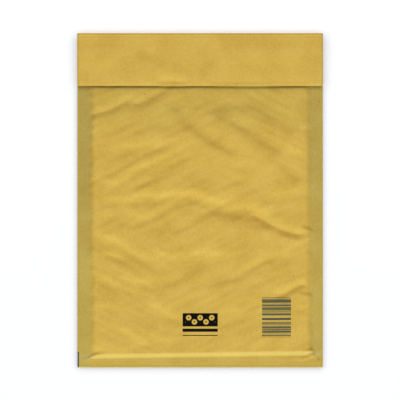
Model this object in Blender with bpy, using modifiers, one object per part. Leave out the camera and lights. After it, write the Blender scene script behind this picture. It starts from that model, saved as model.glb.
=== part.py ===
"""Padded paper mailing bag, empty and flat, with its flap folded down over the front.

It lies on its back panel: +Z is up, out of the front, and +Y points to the top fold, where the
flap turns over. The origin is the centre of the rectangle that the bag covers, on the surface
that it lies on. All values are metres.

The bag is made as a real one is. One kraft sheet runs from the mouth down the front panel, round
the bottom fold, up the back panel, round the top fold and down again as the flap. Inside lies a
film pouch with air bubbles on its inner walls, welded flat along both sides and crushed flat along
the bottom. The glue strip and its peel-off cover lie under the flap.
"""

import math

import bmesh
import bpy
from mathutils import Vector

# Outline of the closed bag
WIDTH = 0.2000
LENGTH = 0.2725
FLAP_LENGTH = 0.0430

# Sheets
PAPER = 0.00015
FILM = 0.00015
GLUE = 0.00015
COVER_PAPER = 0.00012
CLEARANCE = 0.0003

# Flat borders, and the slopes that rise from them to the padded middle
SIDE_SEAL = 0.0082
BOTTOM_SEAL = 0.0077
SIDE_SLOPE = 0.0054
BOTTOM_SLOPE = 0.0042
MOUTH_SLOPE = 0.0100

# Bubbles and the flat pocket between the two bubbled walls
BUBBLE_PITCH = 0.0155
BUBBLE_HEIGHT = 0.0022
BUBBLE_FLANK = 0.0022
FIELD_MARGIN = 0.0010
POCKET_GAP = 0.0004

# Mouth and folds
MOUTH_GAP = 0.0008
MOUTH_SETBACK = 0.0025
LINING_SETBACK = 0.0020
TOP_FOLD_DEPTH = 0.0020
FLAP_LIFT = 0.0005
FLAP_DROOP = 0.0010
FLAP_EDGE_BAND = 0.0050

# Glue strip on the inside of the flap, and the cover that peels off it
GLUE_FROM_EDGE = 0.0065
GLUE_WIDTH = 0.0160
COVER_OVERHANG = 0.0020

# Creases pressed into the padded front: how deep the paper may sink, and how wide a crease is
CREASE_ROOM = 0.00055
CREASE_HALF_WIDTH = 0.0055

# How finely the sheets are divided
SLOPE_STEPS = 4
FOLD_STEPS = 6
PAD_CELL = 0.0160
BACK_CELLS = 4
CREASE_REFINEMENTS = 2

KRAFT_COLOUR = (0.620, 0.415, 0.088, 1.0)
FILM_COLOUR = (0.800, 0.840, 0.860, 1.0)
GLUE_COLOUR = (0.760, 0.700, 0.520, 1.0)
COVER_COLOUR = (0.830, 0.830, 0.800, 1.0)

# Heights that follow from the sheets. The bag is symmetric about its middle plane, apart from the
# room for creases on the front.
SEAL_HALF = PAPER + CLEARANCE + FILM
POUCH_RISE = BUBBLE_HEIGHT + POCKET_GAP / 2
PAD_HALF = SEAL_HALF + POUCH_RISE
LIP_RISE = MOUTH_GAP / 2
MIDDLE_Z = PAD_HALF
FRONT_Z = MIDDLE_Z + PAD_HALF + CREASE_ROOM
STRIP_STACK = CLEARANCE + COVER_PAPER + CLEARANCE + GLUE + CLEARANCE
FLAP_Z = FRONT_Z + STRIP_STACK + PAPER
FOLD_TOP_Z = MIDDLE_Z + SEAL_HALF + LIP_RISE + CLEARANCE + PAPER + FLAP_LIFT

# Lines across the bag, from the bottom fold to the top fold
BOTTOM_Y = -LENGTH / 2
BOTTOM_FOLD_Y = BOTTOM_Y + SEAL_HALF
BOTTOM_SEAL_Y = BOTTOM_Y + BOTTOM_SEAL
PAD_BOTTOM_Y = BOTTOM_SEAL_Y + BOTTOM_SLOPE
TOP_FOLD_Y = LENGTH / 2 - TOP_FOLD_DEPTH
LIP_Y = TOP_FOLD_Y - MOUTH_SETBACK
PAD_TOP_Y = LIP_Y - MOUTH_SLOPE
LINING_TOP_Y = LIP_Y - LINING_SETBACK
FLAP_EDGE_Y = LENGTH / 2 - FLAP_LENGTH
SEAL_X = WIDTH / 2 - SIDE_SEAL
PAD_X = SEAL_X - SIDE_SLOPE

# Lengths along the flat blank, measured from the edge of the mouth
BLANK_FRONT = LIP_Y - BOTTOM_FOLD_Y
BLANK_BOTTOM_FOLD = BLANK_FRONT + math.pi * SEAL_HALF
BLANK_BACK = BLANK_BOTTOM_FOLD + TOP_FOLD_Y - BOTTOM_FOLD_Y
BLANK_TOP_FOLD = BLANK_BACK + math.pi * TOP_FOLD_DEPTH

# Creases of the front panel. Each is a line of points, as shares of the half width and of the half
# length from the centre, and how deep it is as a share of the room.
CREASES = (
    (((-0.86, 0.52), (-0.77, 0.53), (-0.67, 0.56), (-0.59, 0.60), (-0.52, 0.63)), 1.0),
    (((-0.57, 0.55), (-0.46, 0.58), (-0.38, 0.61), (-0.30, 0.65)), 0.8),
    (((0.25, 0.58), (0.39, 0.56), (0.51, 0.52), (0.62, 0.48), (0.74, 0.43)), 0.7),
    (((0.20, 0.49), (0.33, 0.44), (0.45, 0.39), (0.57, 0.34), (0.69, 0.30), (0.80, 0.27)), 0.7),
    (((-0.16, 0.48), (-0.06, 0.44), (0.04, 0.39), (0.15, 0.34), (0.29, 0.29)), 0.7),
    (((-0.08, 0.02), (0.04, 0.00), (0.15, -0.04), (0.24, -0.07), (0.33, -0.07)), 0.9),
    (((0.33, -0.07), (0.42, -0.08), (0.52, -0.11), (0.62, -0.15), (0.72, -0.18), (0.83, -0.20)), 1.0),
    (((0.18, -0.06), (0.08, -0.08), (-0.02, -0.12), (-0.11, -0.16), (-0.20, -0.18)), 0.7),
    (((-0.81, -0.23), (-0.69, -0.27), (-0.59, -0.31), (-0.47, -0.36), (-0.36, -0.38)), 0.7),
    (((0.62, -0.56), (0.70, -0.53), (0.78, -0.51), (0.86, -0.49)), 1.0),
    (((0.05, -0.53), (0.18, -0.49), (0.33, -0.45), (0.44, -0.40), (0.56, -0.36), (0.69, -0.31)), 0.7),
    (((-0.23, -0.50), (-0.11, -0.45), (0.00, -0.41), (0.11, -0.36)), 0.6),
)


def clamp(value):
    """The value, held between 0 and 1."""
    return max(0.0, min(1.0, value))


def soft_step(t):
    """Rises from 0 to 1 with flat ends."""
    return t * t * (3 - 2 * t)


def ramp(t):
    """The soft step as straight flats, so that every sheet on a slope has the same facets."""
    place = clamp(t) * SLOPE_STEPS
    step = min(int(place), SLOPE_STEPS - 1)
    low = soft_step(step / SLOPE_STEPS)
    high = soft_step((step + 1) / SLOPE_STEPS)
    return low + (high - low) * (place - step)


def side_share(x):
    """0 on the flat side border, 1 on the padded middle."""
    return ramp((SEAL_X - abs(x)) / SIDE_SLOPE)


def bottom_share(y):
    """0 on the flat bottom border, 1 on the padded middle."""
    return ramp((y - BOTTOM_SEAL_Y) / BOTTOM_SLOPE)


def mouth_share(y):
    """0 at the mouth, 1 on the padded middle."""
    return ramp((LIP_Y - y) / MOUTH_SLOPE)


def pouch_half(x, y):
    """Half the height of the hollow inside the pouch, before its bubbles."""
    mouth = mouth_share(y)
    rise = LIP_RISE + (POUCH_RISE - LIP_RISE) * mouth
    return side_share(x) * bottom_share(y) * rise


def distance_to_line(x, y, points):
    """How far a point is from a crease, and how far along it the nearest place is, from 0 to 1."""
    here = Vector((x, y))
    corners = [Vector((px * WIDTH / 2, py * LENGTH / 2)) for px, py in points]
    nearest, along = math.inf, 0.0
    for index, (start, end) in enumerate(zip(corners, corners[1:])):
        run = end - start
        share = clamp((here - start).dot(run) / run.length_squared)
        gap = (here - start - run * share).length
        if gap < nearest:
            nearest, along = gap, (index + share) / (len(corners) - 1)
    return nearest, along


def crease_depth(x, y):
    """How far the creases press the front paper down at a point."""
    depth = 0.0
    for points, share in CREASES:
        gap, along = distance_to_line(x, y, points)
        across = clamp(1 - (gap / CREASE_HALF_WIDTH) ** 2)
        fade = math.sin(math.pi * (0.15 + 0.7 * along))
        depth = max(depth, CREASE_ROOM * share * across * across * fade)
    return depth


def front_z(x, y):
    """The outer face of the front panel."""
    swell = side_share(x) * bottom_share(y) * mouth_share(y)
    room = (CREASE_ROOM - crease_depth(x, y)) * swell
    return MIDDLE_Z + SEAL_HALF + pouch_half(x, y) + room


def back_z(x, y):
    """The outer face of the back panel."""
    return MIDDLE_Z - SEAL_HALF - pouch_half(x, y)


def flap_z(x, y):
    """The outer face of the flap, which sags a little past the padding and at its free edge."""
    rise = FOLD_TOP_Z + (FLAP_Z - FOLD_TOP_Z) * mouth_share(y)
    edge_drop = (STRIP_STACK - CLEARANCE) * (1 - ramp((y - FLAP_EDGE_Y) / FLAP_EDGE_BAND))
    side_droop = FLAP_DROOP * clamp((abs(x) - SEAL_X) / SIDE_SEAL)
    return rise - edge_drop - side_droop


def folded(x, along):
    """Where a point of the flat kraft blank lies once the bag is folded."""
    if along <= BLANK_FRONT:
        y = LIP_Y - along
        return Vector((x, y, front_z(x, y)))
    if along <= BLANK_BOTTOM_FOLD:
        turn = (along - BLANK_FRONT) / SEAL_HALF
        y = BOTTOM_FOLD_Y - SEAL_HALF * math.sin(turn)
        return Vector((x, y, MIDDLE_Z + SEAL_HALF * math.cos(turn)))
    if along <= BLANK_BACK:
        y = BOTTOM_FOLD_Y + along - BLANK_BOTTOM_FOLD
        return Vector((x, y, back_z(x, y)))
    if along <= BLANK_TOP_FOLD:
        turn = (along - BLANK_BACK) / TOP_FOLD_DEPTH
        low, high = back_z(x, TOP_FOLD_Y), flap_z(x, TOP_FOLD_Y)
        z = (low + high) / 2 - (high - low) / 2 * math.cos(turn)
        return Vector((x, TOP_FOLD_Y + TOP_FOLD_DEPTH * math.sin(turn), z))
    y = TOP_FOLD_Y - (along - BLANK_TOP_FOLD)
    return Vector((x, y, flap_z(x, y)))


def evenly(start, end, steps):
    """Stations from start to end, without the start itself."""
    return [start + (end - start) * step / steps for step in range(1, steps + 1)]


def cells(start, end, size):
    """Stations from start to end about a cell apart, without the start itself."""
    return evenly(start, end, max(1, round(abs(end - start) / size)))


def side_stations(pad_cell):
    """Lines along the bag: border, slope, padding, slope, border."""
    half = [WIDTH / 2, SEAL_X] + evenly(SEAL_X, PAD_X, SLOPE_STEPS)
    return [-x for x in half] + cells(-PAD_X, PAD_X, pad_cell)[:-1] + half[::-1]


def blank_stations():
    """Lines across the flat blank, from the edge of the mouth to the free edge of the flap."""
    front = [LIP_Y] + evenly(LIP_Y, PAD_TOP_Y, SLOPE_STEPS)
    front += cells(PAD_TOP_Y, PAD_BOTTOM_Y, PAD_CELL)
    front += evenly(PAD_BOTTOM_Y, BOTTOM_SEAL_Y, SLOPE_STEPS) + [BOTTOM_FOLD_Y]
    back = [BOTTOM_SEAL_Y] + evenly(BOTTOM_SEAL_Y, PAD_BOTTOM_Y, SLOPE_STEPS)
    back += evenly(PAD_BOTTOM_Y, PAD_TOP_Y, BACK_CELLS)
    back += evenly(PAD_TOP_Y, LIP_Y, SLOPE_STEPS) + [TOP_FOLD_Y]
    flap = [LIP_Y] + evenly(LIP_Y, PAD_TOP_Y, SLOPE_STEPS)
    edge_top = FLAP_EDGE_Y + FLAP_EDGE_BAND
    flap += cells(PAD_TOP_Y, edge_top, PAD_CELL) + evenly(edge_top, FLAP_EDGE_Y, SLOPE_STEPS)
    stations = [LIP_Y - y for y in front]
    stations += evenly(BLANK_FRONT, BLANK_BOTTOM_FOLD, FOLD_STEPS)
    stations += [BLANK_BOTTOM_FOLD + y - BOTTOM_FOLD_Y for y in back]
    stations += evenly(BLANK_BACK, BLANK_TOP_FOLD, FOLD_STEPS)
    stations += [BLANK_TOP_FOLD + TOP_FOLD_Y - y for y in flap]
    return stations


def station_grid(bm, columns, rows):
    """A flat grid whose lines run through the given stations."""
    made = bmesh.ops.create_grid(
        bm, x_segments=len(columns) - 1, y_segments=len(rows) - 1, size=1.0
    )
    for vert in made["verts"]:
        column = round((vert.co.x + 1) / 2 * (len(columns) - 1))
        row = round((vert.co.y + 1) / 2 * (len(rows) - 1))
        vert.co = (columns[column], rows[row], 0.0)
    return made["verts"]


def near_crease(face):
    """Whether a face of the flat blank lies on the padded front and close to a crease."""
    centre = face.calc_center_median()
    y = LIP_Y - centre.y
    reach = CREASE_HALF_WIDTH + face.calc_perimeter() / 8
    if not (PAD_BOTTOM_Y < y < PAD_TOP_Y and abs(centre.x) < PAD_X):
        return False
    return any(distance_to_line(centre.x, y, points)[0] < reach for points, _ in CREASES)


def refine_creases(bm):
    """Divides the blank more finely where a crease will be pressed into it."""
    for _ in range(CREASE_REFINEMENTS):
        faces = [face for face in bm.faces if near_crease(face)]
        edges = list({edge for face in faces for edge in face.edges})
        bmesh.ops.subdivide_edges(bm, edges=edges, cuts=1, use_grid_fill=True)


def material(name, colour, roughness):
    made = bpy.data.materials.new(name)
    made.use_nodes = True
    shader = made.node_tree.nodes["Principled BSDF"]
    shader.inputs["Base Color"].default_value = colour
    shader.inputs["Roughness"].default_value = roughness
    shader.inputs["Metallic"].default_value = 0.0
    made.diffuse_color = colour
    return made


def mesh_object(name, bm, collection, finish=None):
    """Closes a bmesh into a named object of a collection."""
    mesh = bpy.data.meshes.new(name)
    bm.to_mesh(mesh)
    bm.free()
    made = bpy.data.objects.new(name, mesh)
    collection.objects.link(made)
    if finish:
        mesh.materials.append(finish)
        mesh.shade_smooth()
        mesh.set_sharp_from_angle(angle=math.radians(35))
    return made


def add_thickness(made, thickness):
    """Gives an open sheet its thickness, inwards from the face that it was drawn on."""
    sheet = made.modifiers.new("Thickness", "SOLIDIFY")
    sheet.thickness = thickness
    sheet.offset = -1.0
    sheet.use_even_offset = True
    sheet.use_rim = True


def make_kraft_envelope(bag, finish):
    """One kraft sheet: front panel, bottom fold, back panel, top fold and flap."""
    bm = bmesh.new()
    station_grid(bm, side_stations(PAD_CELL), blank_stations())
    refine_creases(bm)
    bmesh.ops.triangulate(bm, faces=bm.faces[:], quad_method="BEAUTY", ngon_method="BEAUTY")
    for vert in bm.verts:
        vert.co = folded(vert.co.x, vert.co.y)
    bmesh.ops.reverse_faces(bm, faces=bm.faces[:])
    made = mesh_object("kraft_envelope", bm, bag, finish)
    add_thickness(made, PAPER)
    return made


def pouch_rows(low_y, high_y):
    """Lines across the pouch, with one wide row where the bubbles go."""
    rows = [low_y, BOTTOM_SEAL_Y] + evenly(BOTTOM_SEAL_Y, PAD_BOTTOM_Y, SLOPE_STEPS)
    rows += [PAD_TOP_Y] + evenly(PAD_TOP_Y, LIP_Y, SLOPE_STEPS)
    return [y for y in rows if y < high_y] + [high_y]


def walls_to_middle(bm):
    """Drops a wall from each open edge to the middle plane, where the other half begins."""
    rim = [edge for edge in bm.edges if edge.is_boundary and max(v.co.z for v in edge.verts) > 0]
    walls = bmesh.ops.extrude_edge_only(bm, edges=rim)["geom"]
    for vert in (item for item in walls if isinstance(item, bmesh.types.BMVert)):
        vert.co.z = 0.0
    bmesh.ops.remove_doubles(bm, verts=bm.verts[:], dist=FILM / 100)
    bmesh.ops.recalc_face_normals(bm, faces=bm.faces[:])


def mirrored_half(name, bm, collection, finish=None):
    """An object drawn above the bag's middle plane, and mirrored below it."""
    made = mesh_object(name, bm, collection, finish)
    made.location.z = MIDDLE_Z
    mirror = made.modifiers.new("Other half", "MIRROR")
    mirror.use_axis = (False, False, True)
    mirror.use_mirror_merge = True
    mirror.merge_threshold = FILM / 100
    return made


def bubble_centres():
    """The centres of the bubbles, in staggered rows centred on the padding."""
    row_step = BUBBLE_PITCH * math.sqrt(3) / 2
    low_y = PAD_BOTTOM_Y + BUBBLE_PITCH / math.sqrt(3) + FIELD_MARGIN
    high_y = PAD_TOP_Y - BUBBLE_PITCH / math.sqrt(3) - FIELD_MARGIN
    rows = int((high_y - low_y) / row_step) + 1
    columns = int(2 * (PAD_X - FIELD_MARGIN) / BUBBLE_PITCH)
    for row in range(rows):
        count = columns - row % 2
        for column in range(count):
            x = (column - (count - 1) / 2) * BUBBLE_PITCH
            yield x, (low_y + high_y) / 2 + (row - (rows - 1) / 2) * row_step


def add_honeycomb(bm, z):
    """A flat honeycomb with a cell for each bubble, joined along the cells' edges."""
    corners = []
    for x, y in bubble_centres():
        ring = bmesh.ops.create_circle(
            bm, cap_ends=True, segments=6, radius=BUBBLE_PITCH / math.sqrt(3)
        )
        bmesh.ops.translate(bm, verts=ring["verts"], vec=(x, y, z))
        corners += ring["verts"]
    cells_made = list({face for vert in corners for face in vert.link_faces})
    bmesh.ops.remove_doubles(bm, verts=corners, dist=BUBBLE_PITCH / 1000)
    return cells_made


def hollow_half():
    """The upper half of the hollow in the pouch, with a pit in its roof for each bubble."""
    bm = bmesh.new()
    columns = [x for x in side_stations(2 * PAD_X) if abs(x) < WIDTH / 2]
    station_grid(bm, columns, pouch_rows(BOTTOM_SEAL_Y, LIP_Y + MOUTH_SETBACK)[1:])
    for vert in bm.verts:
        vert.co.z = pouch_half(vert.co.x, vert.co.y)
    roof = max(bm.faces, key=lambda face: face.calc_area())
    roof_rim = roof.edges[:]
    bmesh.ops.delete(bm, geom=[roof], context="FACES_ONLY")
    bubbles = add_honeycomb(bm, POUCH_RISE)
    field_rim = [
        edge for face in bubbles for edge in face.edges if edge.is_boundary
    ]
    bmesh.ops.triangle_fill(bm, use_beauty=True, edges=roof_rim + field_rim)
    walls_to_middle(bm)
    bmesh.ops.inset_individual(
        bm, faces=bubbles, thickness=BUBBLE_FLANK, use_even_offset=True
    )
    for vert in {vert for face in bubbles for vert in face.verts}:
        vert.co.z -= BUBBLE_HEIGHT
    return bm


def make_bubble_lining(bag, cutters, finish):
    """A film pouch, open at the mouth, with bubbles on both inner walls."""
    bm = bmesh.new()
    rows = pouch_rows(BOTTOM_FOLD_Y, LINING_TOP_Y)
    station_grid(bm, side_stations(2 * PAD_X), rows)
    for vert in bm.verts:
        vert.co.z = FILM + pouch_half(vert.co.x, vert.co.y)
    walls_to_middle(bm)
    made = mirrored_half("bubble_lining", bm, bag, finish)
    hollow = mirrored_half("pouch_hollow", hollow_half(), cutters)
    hollow.hide_render = True
    hollow.display_type = "WIRE"
    cut = made.modifiers.new("Hollow", "BOOLEAN")
    cut.operation = "DIFFERENCE"
    cut.solver = "EXACT"
    cut.object = hollow
    return made


def make_strip(name, bag, finish, low_y, high_y, top_below_flap, thickness):
    """A flat strip across the inside of the flap."""
    bm = bmesh.new()
    station_grid(bm, side_stations(PAD_CELL), [low_y, high_y])
    for vert in bm.verts:
        vert.co.z = flap_z(vert.co.x, vert.co.y) - PAPER - top_below_flap
    made = mesh_object(name, bm, bag, finish)
    add_thickness(made, thickness)
    return made


def main():
    for old in list(bpy.data.objects):
        bpy.data.objects.remove(old)
    scene = bpy.context.scene
    bag = bpy.data.collections.new("padded_mailer")
    cutters = bpy.data.collections.new("cutters")
    scene.collection.children.link(bag)
    scene.collection.children.link(cutters)
    kraft = material("kraft_paper", KRAFT_COLOUR, 0.75)
    film = material("bubble_film", FILM_COLOUR, 0.25)
    glue = material("hot_melt_glue", GLUE_COLOUR, 0.35)
    cover = material("cover_paper", COVER_COLOUR, 0.45)
    make_kraft_envelope(bag, kraft)
    make_bubble_lining(bag, cutters, film)
    glue_low = FLAP_EDGE_Y + GLUE_FROM_EDGE
    glue_high = glue_low + GLUE_WIDTH
    make_strip("glue_strip", bag, glue, glue_low, glue_high, CLEARANCE, GLUE)
    make_strip(
        "peel_off_cover",
        bag,
        cover,
        glue_low - COVER_OVERHANG,
        glue_high + COVER_OVERHANG,
        2 * CLEARANCE + GLUE,
        COVER_PAPER,
    )


main()
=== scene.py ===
# %% [markdown]
# A padded mailing bag is two thin sheets and a lot of air. One sheet of kraft paper is folded round a
# pouch of bubble film, both are pressed flat together along the sides and the bottom, and the end of
# the sheet is left over as a flap. Seen from above almost everything is that one sheet of paper, so
# this lesson spends its effort on how the paper is folded, swollen by the bubbles and creased by hands.

# %% Load the frame
import math

import bmesh
import bpy
import numpy as np
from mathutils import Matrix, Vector, noise


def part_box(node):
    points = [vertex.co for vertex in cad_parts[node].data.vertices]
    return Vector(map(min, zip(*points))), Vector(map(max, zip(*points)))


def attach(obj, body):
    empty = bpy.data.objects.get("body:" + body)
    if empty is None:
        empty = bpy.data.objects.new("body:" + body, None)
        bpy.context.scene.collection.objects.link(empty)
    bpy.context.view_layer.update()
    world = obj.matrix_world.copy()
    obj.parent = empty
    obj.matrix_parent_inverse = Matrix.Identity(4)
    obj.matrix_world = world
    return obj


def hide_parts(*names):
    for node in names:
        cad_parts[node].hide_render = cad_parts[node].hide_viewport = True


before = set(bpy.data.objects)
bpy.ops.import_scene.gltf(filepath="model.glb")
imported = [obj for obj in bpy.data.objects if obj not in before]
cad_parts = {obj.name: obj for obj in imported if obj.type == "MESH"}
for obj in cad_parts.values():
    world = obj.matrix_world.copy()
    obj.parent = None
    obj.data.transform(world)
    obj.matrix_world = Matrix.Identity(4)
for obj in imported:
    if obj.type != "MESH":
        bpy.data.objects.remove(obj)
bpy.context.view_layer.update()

# %% [markdown]
# Every place below is in metres, in the frame's own axes: +X to the right, +Y towards the fold where
# the flap turns over, +Z up, with the bag lying on z = 0. The creases were read off the photograph,
# so a small helper turns a pixel of it into a place on the bag.

# %% From a pixel to a place on the bag
PIXEL = 0.8157e-3
MIDDLE_COLUMN = 200.1
MIDDLE_ROW = 200.4
MM = 0.001


def across(column):
    """The x of a pixel column."""
    return (column - MIDDLE_COLUMN) * PIXEL


def up(row):
    """The y of a pixel row."""
    return (MIDDLE_ROW - row) * PIXEL


print("the photograph's left edge of the bag lies at x =", round(across(77.5) / MM, 1), "mm")

# %% Sizes that come from the frame
envelope_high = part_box("kraft_envelope")[1]
lining_low, lining_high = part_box("bubble_lining")
HALF_WIDTH = envelope_high.x
HALF_LENGTH = envelope_high.y
MIDDLE_Z = (lining_low.z + lining_high.z) / 2

PAPER = 0.00015
FILM = 0.00015
GLUE = 0.00015
COVER = 0.00012
GAP = 0.0003
SEAL_HALF = PAPER + GAP + FILM
POUCH_RISE = (lining_high.z - lining_low.z) / 2 - FILM
print("half width, half length, pouch rise in mm:",
      [round(value / MM, 2) for value in (HALF_WIDTH, HALF_LENGTH, POUCH_RISE)])

# %% [markdown]
# The padding does not end in straight lines. Its foot wanders by about a millimetre along the sides,
# its slopes change towards the corners, and the bottom seal was set a little askew in the machine. A
# number that climbs from 0 to 1 describes each slope, and the lowest of them, softened, says how much
# of the padding is there at any place.

# %% Where the padding ends
LEFT_SEAL_X = across(88.4)
RIGHT_SEAL_X = across(313.9)
SIDE_SLOPE = 0.0066
PAD_LEFT = LEFT_SEAL_X + SIDE_SLOPE
PAD_RIGHT = RIGHT_SEAL_X - SIDE_SLOPE
BOTTOM_SEAL = 0.0083
BOTTOM_SEAL_Y = -HALF_LENGTH + BOTTOM_SEAL
BOTTOM_SKEW = 0.0155
BOTTOM_SLOPE = 0.0043
TOP_FOLD_DEPTH = 0.0020
TOP_FOLD_Y = HALF_LENGTH - TOP_FOLD_DEPTH
MOUTH_SETBACK = 0.0025
LIP_Y = TOP_FOLD_Y - MOUTH_SETBACK
MOUTH_SLOPE = 0.0100
LIP_RISE = 0.0004
FLAP_EDGE_Y = up(85.8)

# How the foot of each side strays: (length of a swing, how far it goes, seed of its noise)
LEFT_SWINGS = ((0.024, 0.0010, 3.0), (0.006, 0.0009, 5.0))
RIGHT_SWINGS = ((0.019, 0.0013, 8.0), (0.006, 0.0007, 9.0))
# Higher up the right foot leans inwards, and its slope is longer
LOWER_PART_Y = up(290)
UPPER_PART_Y = up(190)
RIGHT_LEAN = 0.0013
UPPER_SPREAD = 0.20
# At the lower corners both side slopes change, and the weld cuts across the right one
CORNER_LENGTH = 0.0120
CORNER_SPREAD = 0.35
CORNER_NARROWING = 0.66
CORNER_CUT = ((300.0, 357.6), (313.8, 352.4))
CORNER_SLOPE = 0.0030
CORNER_CUT_MOST = 1.5


def soft(t):
    """Rises from 0 to 1 with flat ends."""
    t = np.clip(t, 0.0, 1.0)
    return t * t * (3 - 2 * t)


def wander(t, swings):
    """A slow random walk along a line, the same on each run."""
    def swing(size, amount, seed):
        """One of its swings."""
        walk = [noise.noise(Vector((value / size, seed, 0.5))) for value in np.ravel(t)]
        return amount * np.array(walk).reshape(np.shape(t))
    return sum(swing(*one) for one in swings)


def upper_share(y):
    """0 on the lower part of the panel, 1 on its upper part."""
    return soft((y - LOWER_PART_Y) / (UPPER_PART_Y - LOWER_PART_Y))


def corner_share(x, y):
    """The slope at the bottom right corner, where the weld cuts across the padding."""
    start, end = [np.array((across(column), up(row))) for column, row in CORNER_CUT]
    run = (end - start) / np.linalg.norm(end - start)
    return ((y - start[1]) * run[0] - (x - start[0]) * run[1]) / CORNER_SLOPE


def padding_share(x, y):
    """0 on the flat borders, 1 on the padding; the slopes meet in a mitre at the corners."""
    corner = soft((BOTTOM_SEAL_Y + CORNER_LENGTH - y) / CORNER_LENGTH)
    left = (x - LEFT_SEAL_X + wander(y, LEFT_SWINGS)) / SIDE_SLOPE / (1 + CORNER_SPREAD * corner)
    upper = upper_share(y)
    right = RIGHT_SEAL_X - x + (wander(y, RIGHT_SWINGS) - RIGHT_LEAN * upper)
    right = right / SIDE_SLOPE / (1 - CORNER_NARROWING * corner) / (1 + UPPER_SPREAD * upper)
    bottom = (y - BOTTOM_SEAL_Y - BOTTOM_SKEW * x) / BOTTOM_SLOPE
    bottom = np.minimum(bottom, np.maximum(corner_share(x, y), bottom - CORNER_CUT_MOST))
    return soft(np.minimum(np.minimum(left, right), bottom))


def mouth_share(y):
    """0 at the mouth, 1 on the padding."""
    return soft((LIP_Y - y) / MOUTH_SLOPE)


# %% [markdown]
# Handling leaves two kinds of mark in the paper. A fold is a sharp valley, lit on one bank and dark on
# the other. A streak is a low step, where the paper climbs or falls towards the flap, and under a low
# light each step shows as one lit or one shaded line. Each was read off the photograph and is written
# as a few points along its line, from left to right. A smooth curve through the points takes the
# corners out.

# %% Folds of the front
# name: (points in pixels, depth in mm, reach above the line in mm, reach below it in mm)
FOLDS = {
    "corner fold under the flap": (
        ((90, 113.6), (95.5, 113.8), (102, 112), (110, 109.5), (121, 104), (134, 97)), 0.92, 5.0, 5.5),
    "second fold under the flap": (((133, 105), (143, 102.5), (153, 97), (168, 90)), 0.60, 5.6, 4.0),
    "main fold": (((252, 214), (264, 220.5), (276, 227), (287, 231.5), (297, 233.7), (305, 232.8)),
                  0.95, 6.2, 5.2),
    "lower right fold": (((275, 297), (284, 293.5), (292, 289), (299, 285.5), (307, 283.8)),
                         1.0, 6.0, 4.2),
}

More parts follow.
